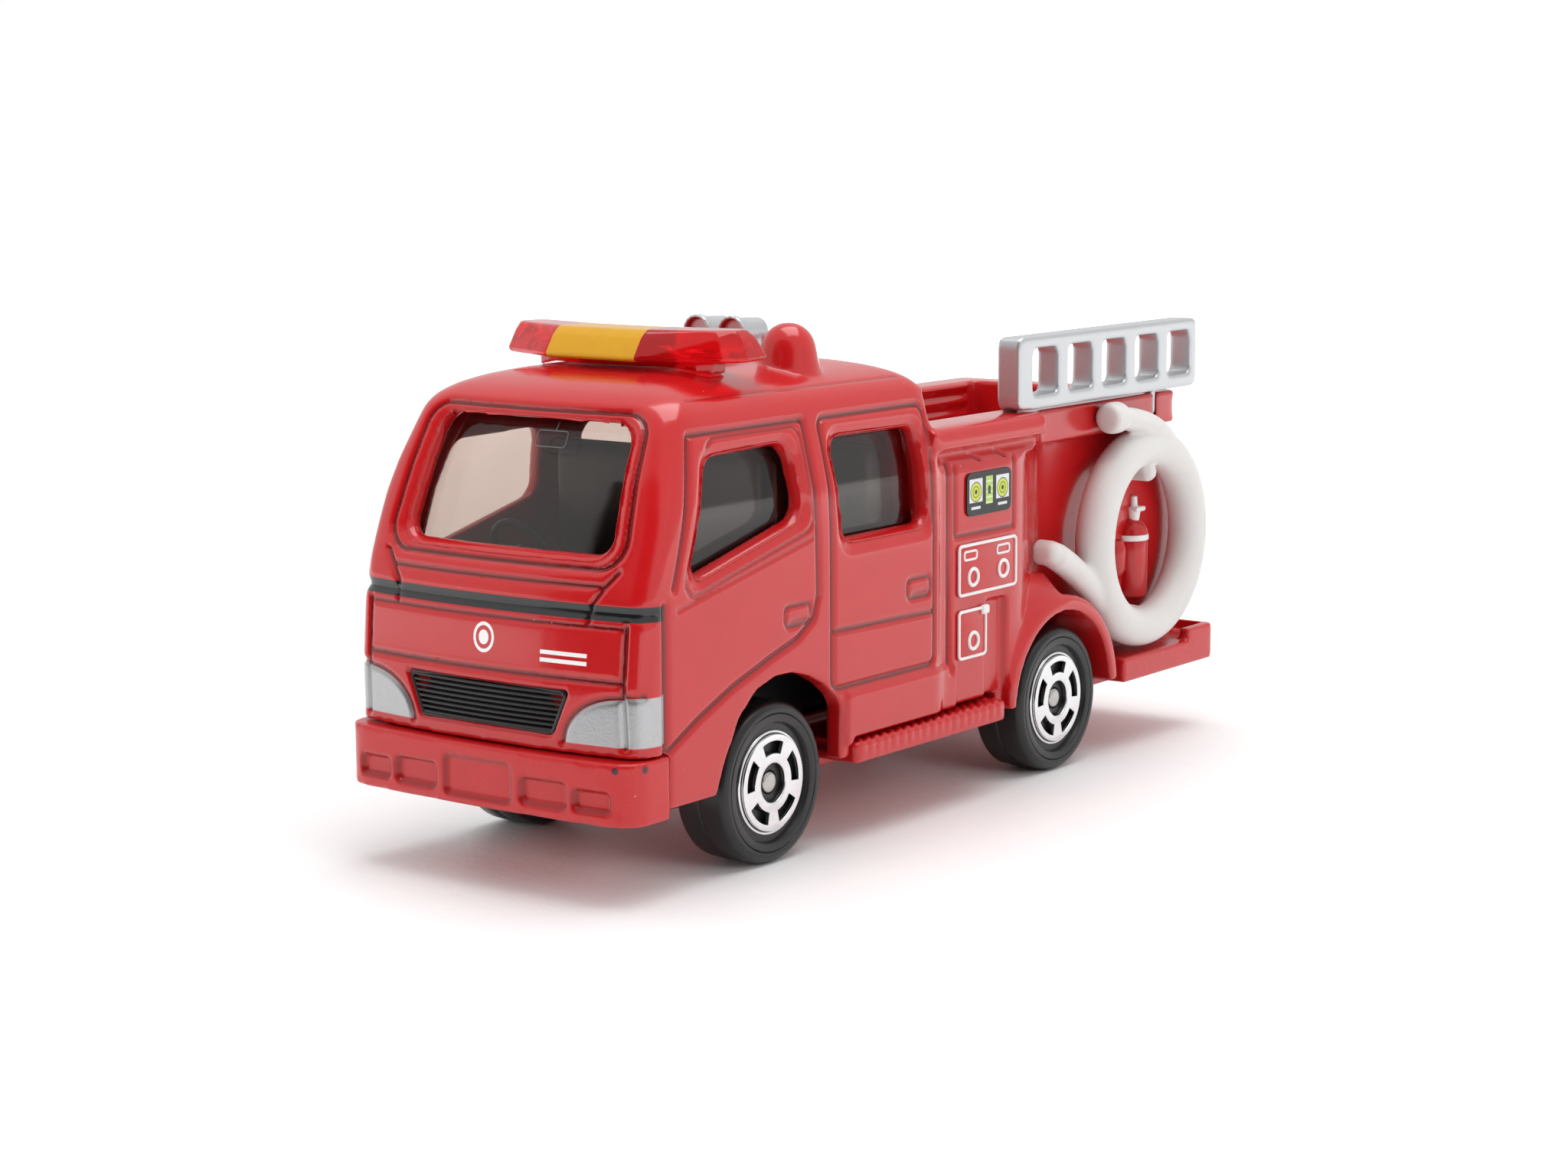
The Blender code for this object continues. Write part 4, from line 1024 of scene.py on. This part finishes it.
def valve_plates(side, end):
    """Two raised plates on the pump panel with white edges, rings and hinges."""
    x = BODY_HALF + 0.03
    frames = [((0.75, 15.2), (8.2, 18.75)), ((0.75, 10.6), (4.2, 14.0))]
    plates, marks = [], []
    for low, high in frames:
        plates.append(block((x - 0.15, low[0], low[1]), (x + 0.1, high[0], high[1]), bevel=0.07))
        corners = rounded([low, (high[0], low[1]), high, (low[0], high[1])], 0.3)
        marks.append(curve_mesh([(x + 0.1, y, z) for y, z in corners], 0.12, closed=True, sides=3))
    for y, z in ((2.55, 16.4), (6.5, 16.55), (2.6, 11.75)):
        marks.append(turned(arc((x + 0.12, 0.6), 0.14, 0, 330, 11), (0, y, z), steps=36))
    for y in (1.4, 5.7):
        corners = rounded([(y, 17.7), (y + 1.6, 17.7), (y + 1.6, 18.3), (y, 18.3)], 0.2)
        marks.append(curve_mesh([(x + 0.1, a, b) for a, b in corners], 0.09, closed=True, sides=3))
    marks.append(block((x - 0.1, 3.6, 13.5), (x + 0.35, 4.5, 14.2), bevel=0.2))
    add_fitting(side, "valve_plates_" + end, plates, PLAIN_RED)
    add_fitting(side, "valve_outlines_" + end, marks, PRINT)


def extinguisher(side, end):
    """Fire extinguisher and small flask in half relief on the recess wall."""
    x, y = 8.95, 30.1
    bottle = turned([(11.1, 0), (11.1, 1.2), (11.3, 1.38), (16.4, 1.38), (17.0, 1.05), (17.35, 0.5),
                     (17.4, 0)], (x, y, 0), "Z", 48)
    flask = turned([(12.3, 0), (12.8, 0.65), (13.5, 1.0), (15.2, 1.05), (15.8, 0.8), (16.0, 0)],
                   (x - 0.3, y - 2.1, 0), "Z", 40)
    band = turned([(15.65, 1.2), (15.65, 1.42), (15.7, 1.46), (16.05, 1.46), (16.1, 1.42), (16.1, 1.2)],
                  (x, y, 0), "Z", 48)
    valve = turned([(17.2, 0), (17.2, 0.42), (18.0, 0.55), (18.4, 0.3), (19.1, 0.26), (19.2, 0)],
                   (x + 0.3, y, 0), "Z", 32)
    lever = block((x, y - 0.5, 17.9), (x + 0.9, y + 0.9, 18.3), bevel=0.14)
    add_fitting(side, "extinguisher_" + end, (bottle, flask), PLAIN_RED)
    add_fitting(side, "extinguisher_fittings_" + end, (band, valve, lever), PRINT)


casting()
base()
grille()
glass()
cabin()
roof_gear()
side_ladder()
for side, end in ((1, "left"), (-1, "right")):
    hose(side, "hose_" + end, "suction_hose_" + end)
    valve_plates(side, end)
    extinguisher(side, end)
    for which, axle_y in (("front", FRONT_AXLE_Y), ("rear", REAR_AXLE_Y)):
        wheel(side, axle_y, which + "_tyre_" + end, which + "_wheel_" + end, which + "_wheelset")
for which, axle_y in (("front", FRONT_AXLE_Y), ("rear", REAR_AXLE_Y)):
    axle(axle_y, which + "_pin", which + "_axle", which + "_wheelset")
for node, material in (("front_spring", SPRING), ("rear_spring", SPRING), ("gauge_label_left", LABEL),
                       ("gauge_label_right", LABEL)):
    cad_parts[node].material_slots[0].material = material


# ---------------------------------------------------------------- floor, light and camera
def floor():
    """Pale ground that brightens to white away from the object."""
    half_size = 6.0
    glow_start, glow_length = 110.0, 350.0
    bm = bmesh.new()
    bmesh.ops.create_grid(bm, x_segments=1, y_segments=1, size=half_size)
    ob = bpy.data.objects.new("floor", to_mesh(bm, "floor"))
    bpy.context.scene.collection.objects.link(ob)
    p = Paint("pale_floor")
    far = p.calc("SUBTRACT", p.radius_from(p.x, p.y, (0.0, 0.0)), glow_start)
    p.set(Base_Color=p.mix((0.93, 0.93, 0.93), (0.91, 0.91, 0.91), p.noise(0.6, 3.0)), Roughness=0.5,
          Normal=p.bump(p.noise(1.1, 4.0, 0.6), 0.12, 0.35), Emission_Color=(1.0, 1.0, 1.0),
          Emission_Strength=p.calc("DIVIDE", far, glow_length, clamp=True))
    ob.data.materials.append(p.material)


def soft_light(name, place_at, aim, size, power, mirrored=True):
    """A rectangular light, in metres and watts; mirrored ones show in glossy surfaces."""
    data = bpy.data.lights.new(name, "AREA")
    data.shape = "RECTANGLE"
    data.size, data.size_y = size
    data.energy = power
    ob = bpy.data.objects.new(name, data)
    ob.location = place_at
    ob.rotation_mode = "QUATERNION"
    ob.rotation_quaternion = (Vector(aim) - Vector(place_at)).to_track_quat("-Z", "Y")
    ob.visible_glossy = mirrored
    bpy.context.scene.collection.objects.link(ob)


def dark_card():
    """A black card low in front of the nose that shows only in its gloss."""
    width, height = 0.13, 0.08
    middle = (0.022, -0.11, 0.04)
    bm = bmesh.new()
    bmesh.ops.create_grid(bm, x_segments=1, y_segments=1, size=0.5)
    bmesh.ops.transform(bm, matrix=Matrix.Diagonal((width, height, 1.0, 1.0)), verts=bm.verts)
    upright = Matrix.Translation(middle) @ Matrix.Rotation(math.pi / 2, 4, "X")
    bmesh.ops.transform(bm, matrix=upright, verts=bm.verts)
    ob = bpy.data.objects.new("dark_card", to_mesh(bm, "dark_card"))
    bpy.context.scene.collection.objects.link(ob)
    p = Paint("card_black")
    p.set(Base_Color=(0.01, 0.01, 0.01), Roughness=0.9, Specular_IOR_Level=0.0)
    ob.data.materials.append(p.material)
    ob.visible_camera = False
    ob.visible_diffuse = False
    ob.visible_shadow = False


def studio():
    """A white light tent with a dark opening at the front, and soft lights over it."""
    world = bpy.data.worlds.new("studio")
    bpy.context.scene.world = world
    world.use_nodes = True
    nodes, links = world.node_tree.nodes, world.node_tree.links
    where = nodes.new("ShaderNodeTexCoord")
    toward = nodes.new("ShaderNodeVectorMath")
    toward.operation = "DOT_PRODUCT"
    toward.inputs[1].default_value = (0.24, -0.97, 0.0)
    opening = nodes.new("ShaderNodeMapRange")
    opening.interpolation_type = "SMOOTHSTEP"
    for key, value in (("From Min", 0.58), ("From Max", 0.78), ("To Min", 0.76), ("To Max", 0.05)):
        opening.inputs[key].default_value = value
    seen = nodes.new("ShaderNodeLightPath")
    strength = nodes.new("ShaderNodeMix")
    strength.inputs[3].default_value = 1.0
    links.new(where.outputs["Generated"], toward.inputs[0])
    links.new(toward.outputs["Value"], opening.inputs["Value"])
    links.new(opening.outputs["Result"], strength.inputs[2])
    links.new(seen.outputs["Is Camera Ray"], strength.inputs[0])
    links.new(strength.outputs[0], nodes["Background"].inputs["Strength"])
    nodes["Background"].inputs["Color"].default_value = (1.0, 1.0, 1.0, 1.0)
    aim = (0.0, 0.0, 0.015)                # the middle of the object, low down
    soft_light("overhead", (0.03, 0.05, 0.45), aim, size=(0.40, 0.34), power=1.35)
    soft_light("front_fill", (-0.12, -0.50, 0.22), aim, size=(0.20, 0.20), power=0.75, mirrored=False)
    soft_light("side_fill", (0.46, -0.06, 0.20), aim, size=(0.20, 0.20), power=0.42, mirrored=False)
    dark_card()


def camera():
    """Camera low at the front left corner, a long lens, no shift."""
    data = bpy.data.cameras.new("camera")
    data.lens = 70.3
    data.sensor_width = 36.0
    data.clip_start = 0.01
    ob = bpy.data.objects.new("camera", data)
    eye = Vector((131.586, -179.443, 50.140)) * MM
    look = Vector((10.123, -17.413, 18.007)) * MM
    roll = math.radians(-0.324)
    turn = (look - eye).to_track_quat("-Z", "Y").to_matrix().to_4x4()
    ob.matrix_world = Matrix.Translation(eye) @ turn @ Matrix.Rotation(roll, 4, "Z")
    bpy.context.scene.collection.objects.link(ob)
    bpy.context.scene.camera = ob


floor()
studio()
camera()
bpy.context.scene.view_settings.view_transform = "Standard"
